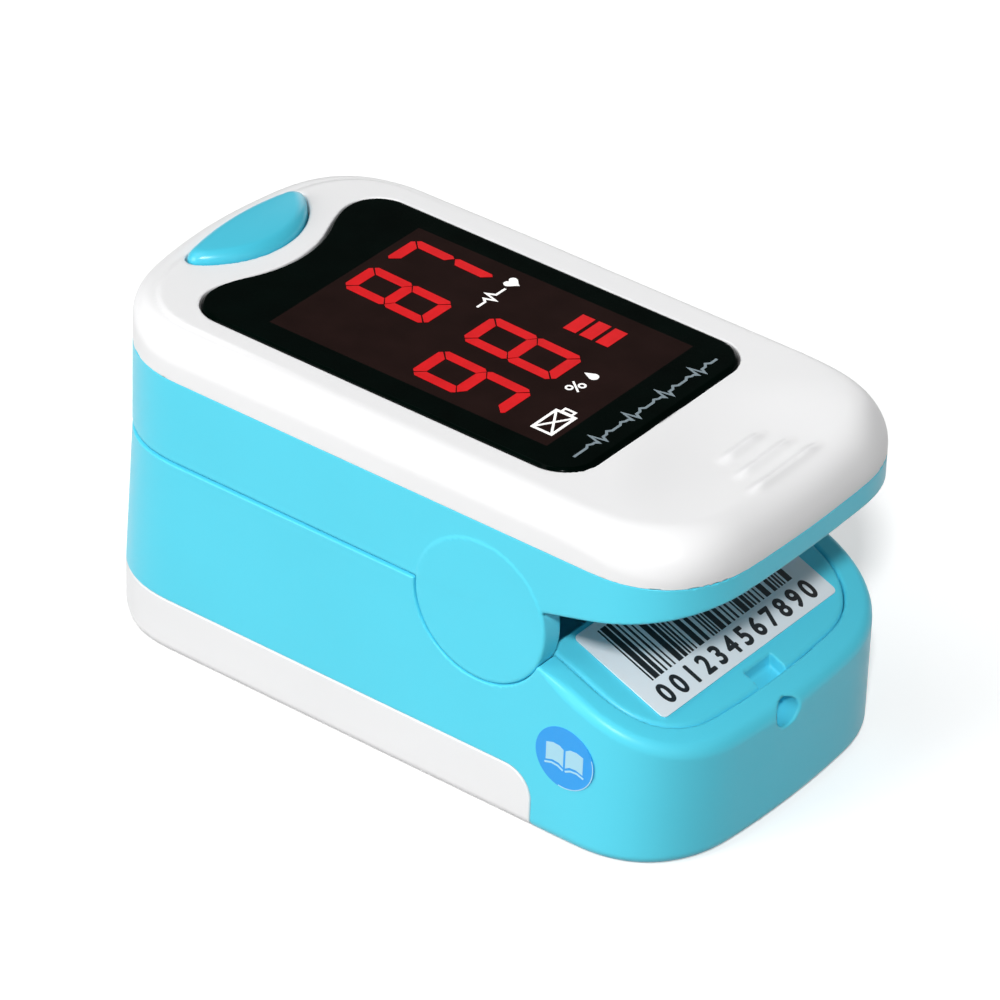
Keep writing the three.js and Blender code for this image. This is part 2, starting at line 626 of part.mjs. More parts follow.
// Upper jaw
add('upper_housing', upperHousing(), BLUE);
add('top_cover', topCover(), WHITE);
add('upper_finger_pad', fingerPad(1, CHANNEL.stop - 0.8), RUBBER);
add('emitter_board', join(
  box([SENSOR_X - 4.6, SENSOR_X + 4.6], [-4, 4], [24.1, 24.7]),
  box([SENSOR_X - 2.2, SENSOR_X + 2.2], [-1.8, 1.8], [22.95, 24.2]),
), CIRCUIT);
add('emitter_window', rodZ(SENSOR_X, 0, 3.5, CHANNEL.high, 22.85, 20), CLEAR);
add('main_board', mainBoard(), CIRCUIT);
add('controller_chip', box([-4, 3], [5, 12], [BOARD.bottom - 0.9, BOARD.bottom - 0.05]), CHIP);
add('display_module', box(
  [-17.2, 11.6], [-9.7, 9.7], [BOARD.top + 0.05, LENS.bottom - 0.1],
), DARK_RESIN);
add('display_lens', upright(lensPlan(0), LENS.bottom, LENS.top, 8), GLOSS_BLACK);
add('tact_switch', cut(
  box([SWITCH_X - 1.7, SWITCH_X + 1.9], [-2.1, 2.1], [BOARD.top + 0.05, 26.65]),
  rodZ(SWITCH_X, 0, 1.0, 26.2, 30),
), CHIP);
BOARD_SCREWS.forEach((place, index) => add(`board_screw_${index + 1}`, boardScrew(place), STEEL));

// Power button with the switch's own plunger under it
add('power_button', powerButton(), BUTTON_BLUE);
add('switch_plunger', rodZ(SWITCH_X, 0, 0.9, 26.75, 28.3), WHITE);

export default oximeter;
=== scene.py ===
"""Fingertip pulse oximeter: two moulded jaws on a hinge, a lit display on top, cells below.

Lengths are in millimetres until a mesh is made, which turns them into metres.
The finger end is at -X, the two tails that are squeezed are at +X.
"""
import json
import math

import bmesh
import bpy
import numpy as np
from mathutils import Matrix, Vector


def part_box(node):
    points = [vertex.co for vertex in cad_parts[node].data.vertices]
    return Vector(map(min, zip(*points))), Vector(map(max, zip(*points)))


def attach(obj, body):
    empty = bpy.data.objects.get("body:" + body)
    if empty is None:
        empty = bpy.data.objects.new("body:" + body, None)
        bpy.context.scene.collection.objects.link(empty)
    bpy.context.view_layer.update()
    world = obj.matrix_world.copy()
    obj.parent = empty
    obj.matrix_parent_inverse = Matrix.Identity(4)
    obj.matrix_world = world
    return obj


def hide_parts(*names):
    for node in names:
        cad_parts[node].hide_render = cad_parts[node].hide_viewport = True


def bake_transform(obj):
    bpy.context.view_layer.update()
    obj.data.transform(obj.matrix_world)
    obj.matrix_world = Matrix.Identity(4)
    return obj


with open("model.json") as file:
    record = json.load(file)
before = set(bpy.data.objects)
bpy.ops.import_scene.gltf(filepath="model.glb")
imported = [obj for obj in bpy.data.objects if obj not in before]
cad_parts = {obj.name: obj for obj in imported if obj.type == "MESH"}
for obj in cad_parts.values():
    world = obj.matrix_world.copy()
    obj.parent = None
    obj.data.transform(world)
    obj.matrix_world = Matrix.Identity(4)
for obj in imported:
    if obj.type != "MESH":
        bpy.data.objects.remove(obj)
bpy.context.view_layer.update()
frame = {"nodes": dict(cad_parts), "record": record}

MM = 0.001


def extent(node):
    """Lowest and highest corner of a CAD node in millimetres."""
    low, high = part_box(node)
    return np.array(low) / MM, np.array(high) / MM


# ---- Driving dimensions, from the frame where it holds them ----
LOWER_HALF = extent("lower_shell")[1][1]
UPPER_HALF = 15.88
LOWER = {
    "start": extent("battery_cover")[0][0] - 0.3,
    "end": extent("lower_shell")[1][0],
    "half": LOWER_HALF,
    "bows": (1.6, 1.6),
}
UPPER = {
    "start": extent("upper_housing")[0][0] - 0.7,
    "end": extent("upper_housing")[1][0],
    "half": UPPER_HALF,
    "bows": (3.4, 1.0),
}
CORNER = 9.0               # plan corner of the cases, a superellipse of this power
CORNER_POWER = 2.5
LEAN = 0.0239              # share by which the lower case's finger end leans back at the jaw seam
BATTERY_LINE = 5.0         # heights of the joint lines
JAW_SEAM = 18.0
COVER_SEAM = 25.5
TOP = extent("top_cover")[1][2]
SLIT = 0.05                # half of a visible joint line
WALL = 1.6
UPPER_WALL = 1.5
COVER_CEILING = 28.0       # underside of the white cover
DOOR_END = 15.9            # tail end of the battery cover, and the round corner over it
DOOR_CORNER = 2.5
HINGE_X, HINGE_Z = 10.3, 17.67
EAR = 6.23                 # radius of the round disc at each side of the hinge
PIN_RADIUS = 1.2
PIN_BORE = 1.25
TAIL_DROP, TAIL_RISE = 0.3975, 0.268
PAD = 1.2                  # thickness of the finger pads
CHANNEL_LOW, CHANNEL_HIGH = 14.2, 21.7
PAD_RADIUS_LOW, PAD_RADIUS_HIGH = 17.8, 19.5
MOUTH_HALF, MOUTH_END = 10, -25.8
SENSOR_X = -10.0
BAY_HALF = 12              # outside and inside of the bay that holds the cells, and its slot
BAY_ROOM = 11
BAY_SLOT = 12.15
LENS_LOW, LENS_HIGH = extent("display_lens") + np.array([(0.25, 0, 0), (-0.45, 0, 0)])
LENS_CORNER = 3.2
BITE_CENTRE, BITE = -31.5, 11.2
KEY_CENTRE = (-31.1, 0.55)
KEY_RADIUS = 8.5           # its round edge towards the screen, and its bowed outer edge
KEY_EDGE = -27.95
KEY_BOW = 0.018
KEY_TIP = 1.5              # radius of its two tips
KEY_CROWN = 30.35
BOARD_TOP = 25.9
BOARD_SCREWS = ((-20.5, 12.1), (13.4, 10.6))
FRAME_SCREWS = ((-18, 13.25), (-2, 13.25))
THUMB_RIBS = ((21.7, 1.2, 2.8), (23.9, 1.0, 3.7), (26.0, 0.7, 4.5))  # place, middle, half length
STICKER_X, STICKER_Z, STICKER_RADIUS = 19.0, 8.0, 2.75


# ---- Distance fields: negative inside, in millimetres ----
def both(a, b, soft=0.0):
    """The part inside a and b, its edge rounded to the radius soft."""
    inner = np.minimum(np.maximum(a, b), -soft)
    return inner + np.hypot(np.maximum(a + soft, 0), np.maximum(b + soft, 0))


def either(a, b, soft=0.0):
    """The part inside a or b, its inner corner filled to the radius soft."""
    return -both(-a, -b, soft)


def carve(a, b, soft=0.0):
    """The part inside a and outside b."""
    return both(a, -b, soft)


def slab(v, low, high):
    """The part between low and high along one axis."""
    return np.abs(v - (low + high) / 2) - (high - low) / 2


def block(x, y, z, spans, soft=0.0):
    return both(both(slab(x, *spans[0]), slab(y, *spans[1]), soft), slab(z, *spans[2]), soft)


def rod(a, b, centre_a, centre_b, radius):
    """A round bar along the axis that isn't named."""
    return np.hypot(a - centre_a, b - centre_b) - radius


def round_hinge(x, z, radius):
    return rod(x, z, HINGE_X, HINGE_Z, radius)


def ease(v, start, end):
    """A smooth step from 0 at start to 1 at end."""
    t = np.clip((v - start) / (end - start), 0, 1)
    return t * t * (3 - 2 * t)


def case_outline(x, y, case):
    """Distance outside a case's plan: straight sides, soft corners and bowed ends."""
    half = case["half"]
    middle, reach = (case["start"] + case["end"]) / 2, (case["end"] - case["start"]) / 2
    along = x - middle
    bow = np.where(along > 0, case["bows"][1], case["bows"][0])
    along = np.abs(along) + bow * (y / half) ** 2 * np.clip(np.abs(along) / reach, 0, 1.1) ** 2
    out_x, out_y = along - (reach - CORNER), np.abs(y) - (half - CORNER)
    round_part = np.maximum(out_x, 0) ** CORNER_POWER + np.maximum(out_y, 0) ** CORNER_POWER
    return round_part ** (1 / CORNER_POWER) + np.minimum(np.maximum(out_x, out_y), 0) - CORNER


def leant_outline(x, y, z):
    """The lower case's outline, whose finger end leans back above the battery cover."""
    height = np.clip((z - BATTERY_LINE) / (JAW_SEAM - BATTERY_LINE), 0, 1.2)
    return case_outline(np.where(x < 0, x / (1 - LEAN * height), x), y, LOWER)


def tail_top(x):
    """Height of the lower tail's sloped face."""
    return 14.85 - TAIL_DROP * (x - 16.7)


def tail_under(x):
    """Height of the upper tail's underside."""
    return 20.05 + TAIL_RISE * (x - 16.57)


def tail_slope(x, z):
    """Height over the lower tail's sloped face."""
    return (z - tail_top(x)) / math.hypot(1, TAIL_DROP)


def plate_outline(x, y):
    """Plan of the inner plate that fills the lower tail's sloped face."""
    return both(case_outline(x, y, LOWER) + 2.4, 15.2 - x, 0.2)


def lens_outline(x, y):
    """Plan of the screen cover, with a round bite for the key."""
    panel = both(slab(x, LENS_LOW[0], LENS_HIGH[0]), slab(y, LENS_LOW[1], LENS_HIGH[1]), LENS_CORNER)
    return carve(panel, rod(x, y, BITE_CENTRE, 0, BITE), 1.2)


def key_outline(x, y):
    """Plan of the key, a crescent with round tips."""
    far_edge = KEY_EDGE + KEY_BOW * (y - KEY_CENTRE[1]) ** 2
    return both(rod(x, y, *KEY_CENTRE, KEY_RADIUS), far_edge - x, KEY_TIP)


def lower_channel(y, z):
    """Distance outside the finger's side of the lower pad."""
    hollow = PAD_RADIUS_LOW - np.hypot(y, z - CHANNEL_LOW - PAD_RADIUS_LOW)
    return -both(hollow, z - JAW_SEAM + 0.3, 0.6)


def upper_channel(y, z):
    """Distance outside the finger's side of the upper pad."""
    hollow = PAD_RADIUS_HIGH - np.hypot(y, z - CHANNEL_HIGH + PAD_RADIUS_HIGH)
    return -both(hollow, JAW_SEAM + 0.3 - z, 0.6)


def mouth_opening(x, y, channel):
    """The finger's way in through the end wall, with room for the pad's rubber."""
    return both(channel - PAD - 0.1, both(np.abs(y) - MOUTH_HALF, x - MOUTH_END, 0.1), 0.4)


def door_side(x, z, grow):
    """Side view of the battery cover, with a round upper corner at its tail end."""
    return both(x - DOOR_END - grow, z - BATTERY_LINE - grow, DOOR_CORNER)


def tongues(x, y, z, gap):
    """The battery cover's two hooks, or their slots with a gap all round."""
    spans = ((DOOR_END - 2, 17.5 + 2 * gap), (11.4 - gap, 14 + gap), (0.6 - gap, 1.1 + gap))
    return block(x, np.abs(y), z, spans, 0.1)


# ---- The mouldings ----
def cover_height(x, y, edge):
    """Top of the white cover: a plateau, a thumb dip with three ribs, a soft step at the finger end."""
    bowl = np.clip(1 - ((x - 22.6) / 13.5) ** 2 - (y / 21) ** 2, 0, 1)
    dip = TOP + 5.3 - 6.1 * np.sqrt(bowl)
    blend = np.clip(0.5 + (dip - TOP) / 0.8, 0, 1)
    height = dip + (TOP - dip) * blend - 0.4 * blend * (1 - blend)
    for place, middle, half in THUMB_RIBS:
        bump = np.exp(-((x - place) / 0.48) ** 2) * (1 - ease(np.abs(y - middle), half - 1.7, half + 0.4))
        height = height + 0.36 * bump
    step = 0.16 * (1 - ease(-edge, 1.9, 2.5)) * (1 - ease(x, -24, -6))
    return height - step


def top_cover(x, y, z):
    """White shell with the screen's seat and window, the key's opening and bosses for the board."""
    edge = case_outline(x, y, UPPER)
    height = cover_height(x, y, edge)
    rounding = 1.6 + 0.8 * ease(x, -28, -22) + 1.1 * ease(x, 17, 27)
    skin = both(both(edge, z - height, rounding), COVER_SEAM - z, 0.05)
    ceiling = np.minimum(COVER_CEILING, height - 1.1)
    skin = carve(skin, both(edge + WALL, z - ceiling, 0.5), 0.1)
    screen_seat = both(lens_outline(x, y) - 0.12, LENS_LOW[2] - 0.05 - z)
    skin = carve(skin, screen_seat, 0.12)
    window = both(slab(x, -17.5, 12), slab(y, -10, 10), 0.5)
    skin = carve(skin, window, 0.1)
    key_opening = key_outline(x, y) - 0.15
    skin = carve(skin, key_opening, 0.2)
    for px, py in BOARD_SCREWS:
        boss = rod(x, np.abs(y), px, py, 1.3)
        skin = either(skin, both(boss, slab(z, BOARD_TOP + 0.1, 28.2), 0.1), 0.2)
        screw_hole = both(boss + 0.7, z - 27.8)
        skin = carve(skin, screw_hole, 0.05)
    return skin


def upper_housing(x, y, z):
    """Blue band with the upper tail, the mouth's arch, a cross bar and an ear disc at each side."""
    edge = case_outline(x, y, UPPER)
    beside = np.abs(y)
    under = both(JAW_SEAM + SLIT - z, (tail_under(x) - z) / math.hypot(1, TAIL_RISE))
    band = both(both(edge, z - COVER_SEAM + 0.01, 0.02), under, 0.25)
    hollow = both(edge + UPPER_WALL, x - 15.5, 0.3)
    band = carve(band, hollow, 0.1)
    above_tail = both(tail_under(x) + 1.4 - z, 15.4 - x, 0.2)
    tail_hollow = both(edge + UPPER_WALL, above_tail, 0.3)
    band = carve(band, tail_hollow, 0.1)
    finger = upper_channel(y, z)
    band = carve(band, mouth_opening(x, y, finger), 0.25)
    arch = both(slab(finger, PAD + 0.1, PAD + 1.1), slab(x, -27.3, 5.5), 0.2)
    arch = both(arch, edge + UPPER_WALL / 2, 0.1)
    arch = carve(arch, rod(x, y, SENSOR_X, 0, 3.6), 0.1)
    cross_bar = block(x, y, z, ((16.9, 18.3), (-14.4, 14.4), (22.75, 24.4)), 0.2)
    band = either(either(band, arch, 0.15), cross_bar, 0.15)
    ear = both(round_hinge(x, z, EAR), slab(beside, 13.85, UPPER_HALF + 0.07), 0.25)
    band = either(band, ear, 0.12)
    pin_hole = both(round_hinge(x, z, PIN_BORE), beside - 15.05)
    return carve(band, pin_hole, 0.1)


def lower_shell(x, y, z):
    """Blue tub with the tail, its cheeks beside the hinge, the mouth's edge and the lanyard hole."""
    edge = leant_outline(x, y, z)
    upright_edge = case_outline(x, y, LOWER)
    beside = np.abs(y)
    slope = tail_slope(x, z)
    rim_rounding = 0.15 + 0.7 * ease(x, 15.5, 19)
    body = both(both(edge, slope, rim_rounding), z - JAW_SEAM + SLIT, 0.06)
    body = both(body, -z, 0.9)
    body = carve(body, door_side(x, z, SLIT / 2), 0.12)
    floor = BATTERY_LINE + SLIT + 1.2
    hollow = both(edge + WALL, both(floor - z, x - 14, 0.4), 0.4)
    body = carve(body, hollow, 0.1)
    bay_slot = block(x, y, z, ((-27.3, DOOR_END), (-BAY_SLOT, BAY_SLOT), (4, floor + 1)), 0.1)
    body = carve(body, bay_slot)
    bay_end = block(x, y, z, ((13.9, 21.3), (-BAY_SLOT, BAY_SLOT), (WALL, 40)), 0.1)
    body = carve(body, bay_end, 0.1)
    contact_room = block(x, y, z, ((13.9, 20.8), (-10.9, 10.9), (1.15, 40)), 0.1)
    body = carve(body, contact_room, 0.1)
    tail_room = both(both(upright_edge + WALL, WALL - z, 0.4), both(17.5 - x, slope + 2.4))
    hole_block = both(26.9 - x, slab(z, 6.9, 11))
    body = carve(body, carve(tail_room, hole_block), 0.1)
    plate_seat = both(plate_outline(x, y) - 0.04, -slope - 1.3)
    body = carve(body, plate_seat, 0.3)
    cheek = block(x, beside, z, ((3.5, 17), (12.1, 14.8), (6, 40)), 0.2)
    cheek = both(both(cheek, z - JAW_SEAM + SLIT, 0.15), slope + 1.3 * ease(x, 14.8, 15.2), 0.1)
    body = either(body, cheek, 0.1)
    ear_seat = both(round_hinge(x, z, EAR + SLIT), 13.7 - beside)
    body = carve(body, ear_seat, 0.07)
    pin_boss = both(round_hinge(x, z, 4), slab(beside, 12.1, 13.55), 0.1)
    body = either(body, pin_boss, 0.1)
    pin_hole = both(round_hinge(x, z, PIN_BORE), slab(beside, 11, 14))
    body = carve(body, pin_hole, 0.05)
    body = carve(body, mouth_opening(x, y, lower_channel(y, z)), 0.25)
    hole_height = z - 8.95 + 0.25 * (28.8 - x)
    lanyard_hole = both(np.hypot((y + 1.25) / 1.25, hole_height) - 1.12, 27.3 - x, 0.3)
    body = carve(body, lanyard_hole, 0.25)
    body = carve(body, tongues(x, y, z, 0.15))
    for px, py in FRAME_SCREWS:
        screw_hole = both(rod(x, beside, px, py, 0.75), z - floor - 1)
        body = carve(body, screw_hole, 0.05)
    return body


def lower_frame(x, y, z):
    """Bay for the cells, the sloped tail plate on its riser, and bosses for the screws."""
    edge = leant_outline(x, y, z)
    beside = np.abs(y)
    outside = ((-27.1, 21.1), (-BAY_HALF, BAY_HALF), (1.7, 12.6))
    inside = ((-26.3, 20.3), (-BAY_ROOM, BAY_ROOM), (0, 11.8))
    bay = both(block(x, y, z, outside, 0.4), edge + WALL + SLIT, 0.2)
    room = both(block(x, y, z, inside, 0.4), edge + 2.3, 0.2)
    bay = carve(bay, room, 0.15)
    slope = tail_slope(x, z)
    plate = both(slab(slope, -1.25, -0.04), plate_outline(x, y), 0.35)
    riser_block = block(x, y, z, ((15.2, 16.4), (-BAY_HALF, BAY_HALF), (12, 40)), 0.1)
    riser = both(slab(slope, -3.7, -0.4), riser_block)
    window = block(x, beside, z, ((15, 16.6), (6.9, 10.7), (12.65, 14.7)), 0.2)
    body = either(either(bay, plate, 0.1), carve(riser, window, 0.05), 0.1)
    pit_floor = both(slab(slope, -2.1, -0.6), both(slab(x, 24.3, 26.9), beside - 2.6, 0.1))
    body = either(body, pit_floor, 0.1)
    pit = both(both(slab(x, 25.3, 29.2), slab(y, -1.9, 1.5), 0.15), -1.15 - slope, 0.25)
    body = carve(body, pit, 0.15)
    for px, py in FRAME_SCREWS:
        boss = both(rod(x, beside, px, py, 1.15), slab(z, 6.45, 10.6), 0.1)
        web = block(x, beside, z, ((px - 0.8, px + 0.8), (11.8, py), (6.45, 10.6)), 0.1)
        body = either(body, either(boss, web, 0.1), 0.1)
        screw_hole = both(rod(x, beside, px, py, 0.7), z - 9.6)
        body = carve(body, screw_hole)
    sensor = block(x, y, z, ((SENSOR_X - 5, SENSOR_X + 5), (-4.6, 4.6), (10.8, 14)), 0.1)
    return carve(body, sensor, 0.1)


def battery_cover(x, y, z):
    """White tray with a rounder lower edge at the finger end."""
    edge = case_outline(x, y, LOWER)
    rounding = 1.8 - 0.9 * ease(x, -29, -23)
    body = both(both(edge, -z, rounding), door_side(x, z, -SLIT / 2), 0.12)
    tray = both(edge + 1.5, 1.1 - z, 0.6)
    body = carve(body, tray, 0.12)
    return either(body, tongues(x, y, z, 0), 0.1)


def finger_pad(x, y, z, finger, outline, stop, lip):
    """A rubber trough with a closed end, a soft lip and a raised ring round the light's window."""
    room = either(outline + WALL + 0.1, both(slab(x, -29.2, -24.8), np.abs(y) - 9.9, 0.3))
    trough = both(both(slab(finger, 0, PAD), slab(x, -29.2, stop), 0.35), room, 0.25)
    end = both(finger - PAD / 2, both(slab(x, stop - PAD, stop), lip, 0.3), 0.1)
    window = rod(x, y, SENSOR_X, 0, 4.4)
    ring = both(slab(window, -0.8, 0.3), slab(finger, -0.3, 0.5), 0.28)
    pad = either(either(trough, end, 0.4), ring, 0.2)
    pad = carve(pad, both(1.3 - x, 11.9 - np.abs(y)), 0.2)
    return carve(pad, window + 0.8, 0.1)


def lower_pad(x, y, z):
    outline, lip = leant_outline(x, y, z), z - JAW_SEAM + 0.35
    return finger_pad(x, y, z, lower_channel(y, z), outline, 6.2, lip)


def upper_pad(x, y, z):
    outline, lip = case_outline(x, y, UPPER), JAW_SEAM + 0.35 - z
    return finger_pad(x, y, z, upper_channel(y, z), outline, 5.4, lip)


def display_lens(x, y, z):
    """Flat cover with a narrow chamfer round its top edge."""
    edge, over = lens_outline(x, y), z - LENS_HIGH[2]
    sheet = np.maximum(both(edge, over, 0.04), (edge + over + 0.26) / math.sqrt(2))
    return both(sheet, LENS_LOW[2] - z, 0.05)


def power_button(x, y, z):
    """Crowned key on a flange under the cover, with a socket for the switch's plunger."""
    edge = key_outline(x, y)
    crown = KEY_CROWN - 0.2 * ((x - KEY_EDGE - 2.5) / 2.5) ** 2 - 0.2 * (y / 6.5) ** 2
    cap = both(edge, z - crown, 0.9)
    flange = both(both(edge - 0.8, z - 27.85), KEY_EDGE + 0.08 - x, 0.05)
    body = both(either(cap, flange, 0.1), 27.3 - z, 0.1)
    plunger_socket = both(rod(x, y, -24.1, 0, 1.1), z - 28.35)
    return carve(body, plunger_socket, 0.05)


# ---- From a distance field to a mesh ----
def grid_stops(low, high, coarse, fine, edges):
    """Places from low to high, fine near the edges and coarse away from them."""
    stops = [low]
    while stops[-1] < high:
        near = min([abs(stops[-1] - edge) for edge in edges] or [1e3])
        stops.append(stops[-1] + min(coarse, fine + 0.3 * near))
    return np.array(stops)


def surface_net(field, stops):
    """One point in every cell that the surface passes, and a quad across every grid line it cuts."""
    value = field(*np.meshgrid(*stops, indexing="ij", sparse=True))
    value = np.broadcast_to(value, tuple(len(s) for s in stops))
    cells = tuple(n - 1 for n in value.shape)
    total, count, quads = np.zeros((np.prod(cells), 3)), np.zeros(np.prod(cells)), []
    for a in range(3):
        b, c = (a + 1) % 3, (a + 2) % 3
        here = np.moveaxis(value, a, 0)[:-1]
        there = np.moveaxis(value, a, 0)[1:]
        hits = np.argwhere(np.moveaxis((here < 0) != (there < 0), 0, a))
        inner = np.all((hits[:, [b, c]] > 0) & (hits[:, [b, c]] < np.array(cells)[[b, c]]), axis=1)
        hits = hits[inner]
        beyond = hits.copy()
        beyond[:, a] += 1
        v0, v1 = value[tuple(hits.T)], value[tuple(beyond.T)]
        point = np.stack([stops[k][hits[:, k]] for k in range(3)], 1)
        point[:, a] += v0 / (v0 - v1) * (stops[a][beyond[:, a]] - stops[a][hits[:, a]])
        ring = []
        for step_b, step_c in ((-1, -1), (0, -1), (0, 0), (-1, 0)):
            cell = hits.copy()
            cell[:, b] += step_b
            cell[:, c] += step_c
            ring.append(np.ravel_multi_index(tuple(cell.T), cells))
            count += np.bincount(ring[-1], minlength=len(count))
            for k in range(3):
                total[:, k] += np.bincount(ring[-1], point[:, k], len(count))
        ring = np.stack(ring, 1)
        ring[v0 > 0] = ring[v0 > 0, ::-1]
        quads.append(ring)
    used, index = np.unique(np.concatenate(quads), return_inverse=True)
    return total[used] / count[used, None], index.reshape(-1, 4)


def field_slope(field, points, step):
    """Gradient of the field at points."""
    columns = []
    for k in range(3):
        shift = np.zeros(3)
        shift[k] = step
        columns.append((field(*(points + shift).T) - field(*(points - shift).T)) / (2 * step))
    return np.stack(columns, 1)


def onto_surface(field, points):
    slope = field_slope(field, points, 0.005)
    steep = np.maximum((slope ** 2).sum(1), 0.05)
    move = -field(*points.T)[:, None] * slope / steep[:, None]
    length = np.linalg.norm(move, axis=1, keepdims=True)
    return points + move * np.minimum(1, 0.25 / np.maximum(length, 1e-9))


def even_out(points, quads):
    """Each point halfway to the middle of its neighbours."""
    start = quads.ravel()
    end = np.roll(quads, -1, axis=1).ravel()
    pairs = np.concatenate([start, end]), np.concatenate([end, start])
    share = np.bincount(pairs[0], minlength=len(points))[:, None]
    middle = np.stack([np.bincount(pairs[0], points[pairs[1], k], len(points)) for k in range(3)], 1)
    return (points + middle / share) / 2


def linked(name, mesh):
    """An object for the mesh, in the scene."""
    piece = bpy.data.objects.new(name, mesh)
    bpy.context.scene.collection.objects.link(piece)
    return piece


def baked(carrier):
    """The finished mesh of a text or a curve, whose object is removed."""
    bpy.context.view_layer.update()
    mesh = bpy.data.meshes.new_from_object(carrier.evaluated_get(bpy.context.evaluated_depsgraph_get()))
    bpy.data.objects.remove(carrier)
    return mesh


def mesh_object(name, points, faces, normals=None):
    """A smooth-shaded object from points in millimetres and faces of one size."""
    mesh = bpy.data.meshes.new(name)
    size = faces.shape[1]
    mesh.vertices.add(len(points))
    mesh.vertices.foreach_set("co", (np.asarray(points) * MM).astype(np.float32).ravel())
    mesh.loops.add(faces.size)
    mesh.loops.foreach_set("vertex_index", faces.astype(np.int32).ravel())
    mesh.polygons.add(len(faces))
    mesh.polygons.foreach_set("loop_start", np.arange(0, faces.size, size, dtype=np.int32))
    mesh.update(calc_edges=True)
    mesh.polygons.foreach_set("use_smooth", np.ones(len(faces), bool))
    if normals is not None:
        mesh.normals_split_custom_set_from_vertices(normals.tolist())
    return linked(name, mesh)


def moulding(node, field, material, slot, body, edges, coarse=0.42, fine=0.1):
    """The fine surface of a moulded piece, in place of its CAD node."""
    low, high = extent(node)
    margin = (1.37, 0.97, 0.67)
    stops = [
        grid_stops(low[k] - margin[k], high[k] + margin[k], coarse, fine, edges[k]) for k in range(3)
    ]
    points, quads = surface_net(field, stops)
    points = onto_surface(field, points)
    for _ in range(2):
        points = onto_surface(field, even_out(points, quads))
    points = onto_surface(field, points)
    slope = field_slope(field, points, 0.04)
    normals = slope / np.maximum(np.linalg.norm(slope, axis=1, keepdims=True), 1e-9)
    piece = mesh_object(node + "_moulding", points, quads, normals)
    return settle(piece, body, slot, material, node)


def settle(piece, body, slot, material, *nodes):
    """Material, body and the CAD nodes that the piece stands for. The slot is not used."""
    piece.data.materials.clear()
    piece.data.materials.append(material)
    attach(piece, body)
    if nodes:
        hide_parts(*nodes)
    return piece


# ---- Materials ----
def new_material(name):
    """An empty material: itself, its nodes, its links and its shader."""
    material = bpy.data.materials.new(name)
    material.use_nodes = True
    nodes, links = material.node_tree.nodes, material.node_tree.links
    return material, nodes, links, nodes["Principled BSDF"]


def preset(node, values):
    """Values for a node's inputs, by name."""
    for name, value in values.items():
        node.inputs[name].default_value = value


def noise(nodes, links, scale, detail=3.0):
    """Noise over the object's own place, scale in features per metre."""
    place = nodes.new("ShaderNodeTexCoord")
    texture = nodes.new("ShaderNodeTexNoise")
    preset(texture, {"Scale": scale, "Detail": detail})
    links.new(place.outputs["Object"], texture.inputs["Vector"])
    return texture.outputs["Fac"]


def ranged(nodes, links, source, low, high):
    """The source's 0 to 1 spread over low to high."""
    spread = nodes.new("ShaderNodeMapRange")
    preset(spread, {"To Min": low, "To Max": high})
    links.new(source, spread.inputs["Value"])
    return spread.outputs["Result"]


def tinted(nodes, links, source, dark, light):
    """A colour between dark and light, led by the source."""
    ramp = nodes.new("ShaderNodeValToRGB")
    ramp.color_ramp.elements[0].color = (*dark, 1)
    ramp.color_ramp.elements[1].color = (*light, 1)
    ramp.color_ramp.elements[0].position = 0.3
    ramp.color_ramp.elements[1].position = 0.7
    links.new(source, ramp.inputs["Fac"])
    return ramp.outputs["Color"]


def plastic(name, colour, roughness=0.4, grain=0.000004, grain_scale=9000, variation=0.03,
            coat=0.0, sheen=0.0, metallic=0.0, specular=0.5):
    """Moulded plastic: fine texture of the mould, slight flow marks in colour and gloss."""
    material, nodes, links, shader = new_material(name)
    flow = noise(nodes, links, 60, 2.0)
    dark = [c * (1 - variation) for c in colour]
    light = [min(1, c * (1 + variation)) for c in colour]
    links.new(tinted(nodes, links, flow, dark, light), shader.inputs["Base Color"])
    gloss = noise(nodes, links, 900, 4.0)
    links.new(ranged(nodes, links, gloss, roughness - 0.04, roughness + 0.04), shader.inputs["Roughness"])
    bump = nodes.new("ShaderNodeBump")
    preset(bump, {"Distance": grain})
    links.new(noise(nodes, links, grain_scale, 2.0), bump.inputs["Height"])
    links.new(bump.outputs["Normal"], shader.inputs["Normal"])
    preset(shader, {"Metallic": metallic, "Specular IOR Level": specular})
    preset(shader, {"Coat Weight": coat, "Sheen Weight": sheen})
    return material


def srgb(*bytes_):
    """Scene colour of an 8-bit display colour."""
    shares = [b / 255 for b in bytes_]
    return tuple(s / 12.92 if s <= 0.04045 else ((s + 0.055) / 1.055) ** 2.4 for s in shares)


def glowing(name, colour, strength):
    """A lit display segment, its glow varying a little at random."""
    material, nodes, links, shader = new_material(name)
    dim = [c * 0.88 for c in colour]
    glow = tinted(nodes, links, noise(nodes, links, 700), dim, colour)
    links.new(glow, shader.inputs["Emission Color"])
    links.new(glow, shader.inputs["Base Color"])
    preset(shader, {"Emission Strength": strength, "Roughness": 0.3, "Specular IOR Level": 0.15})
    return material


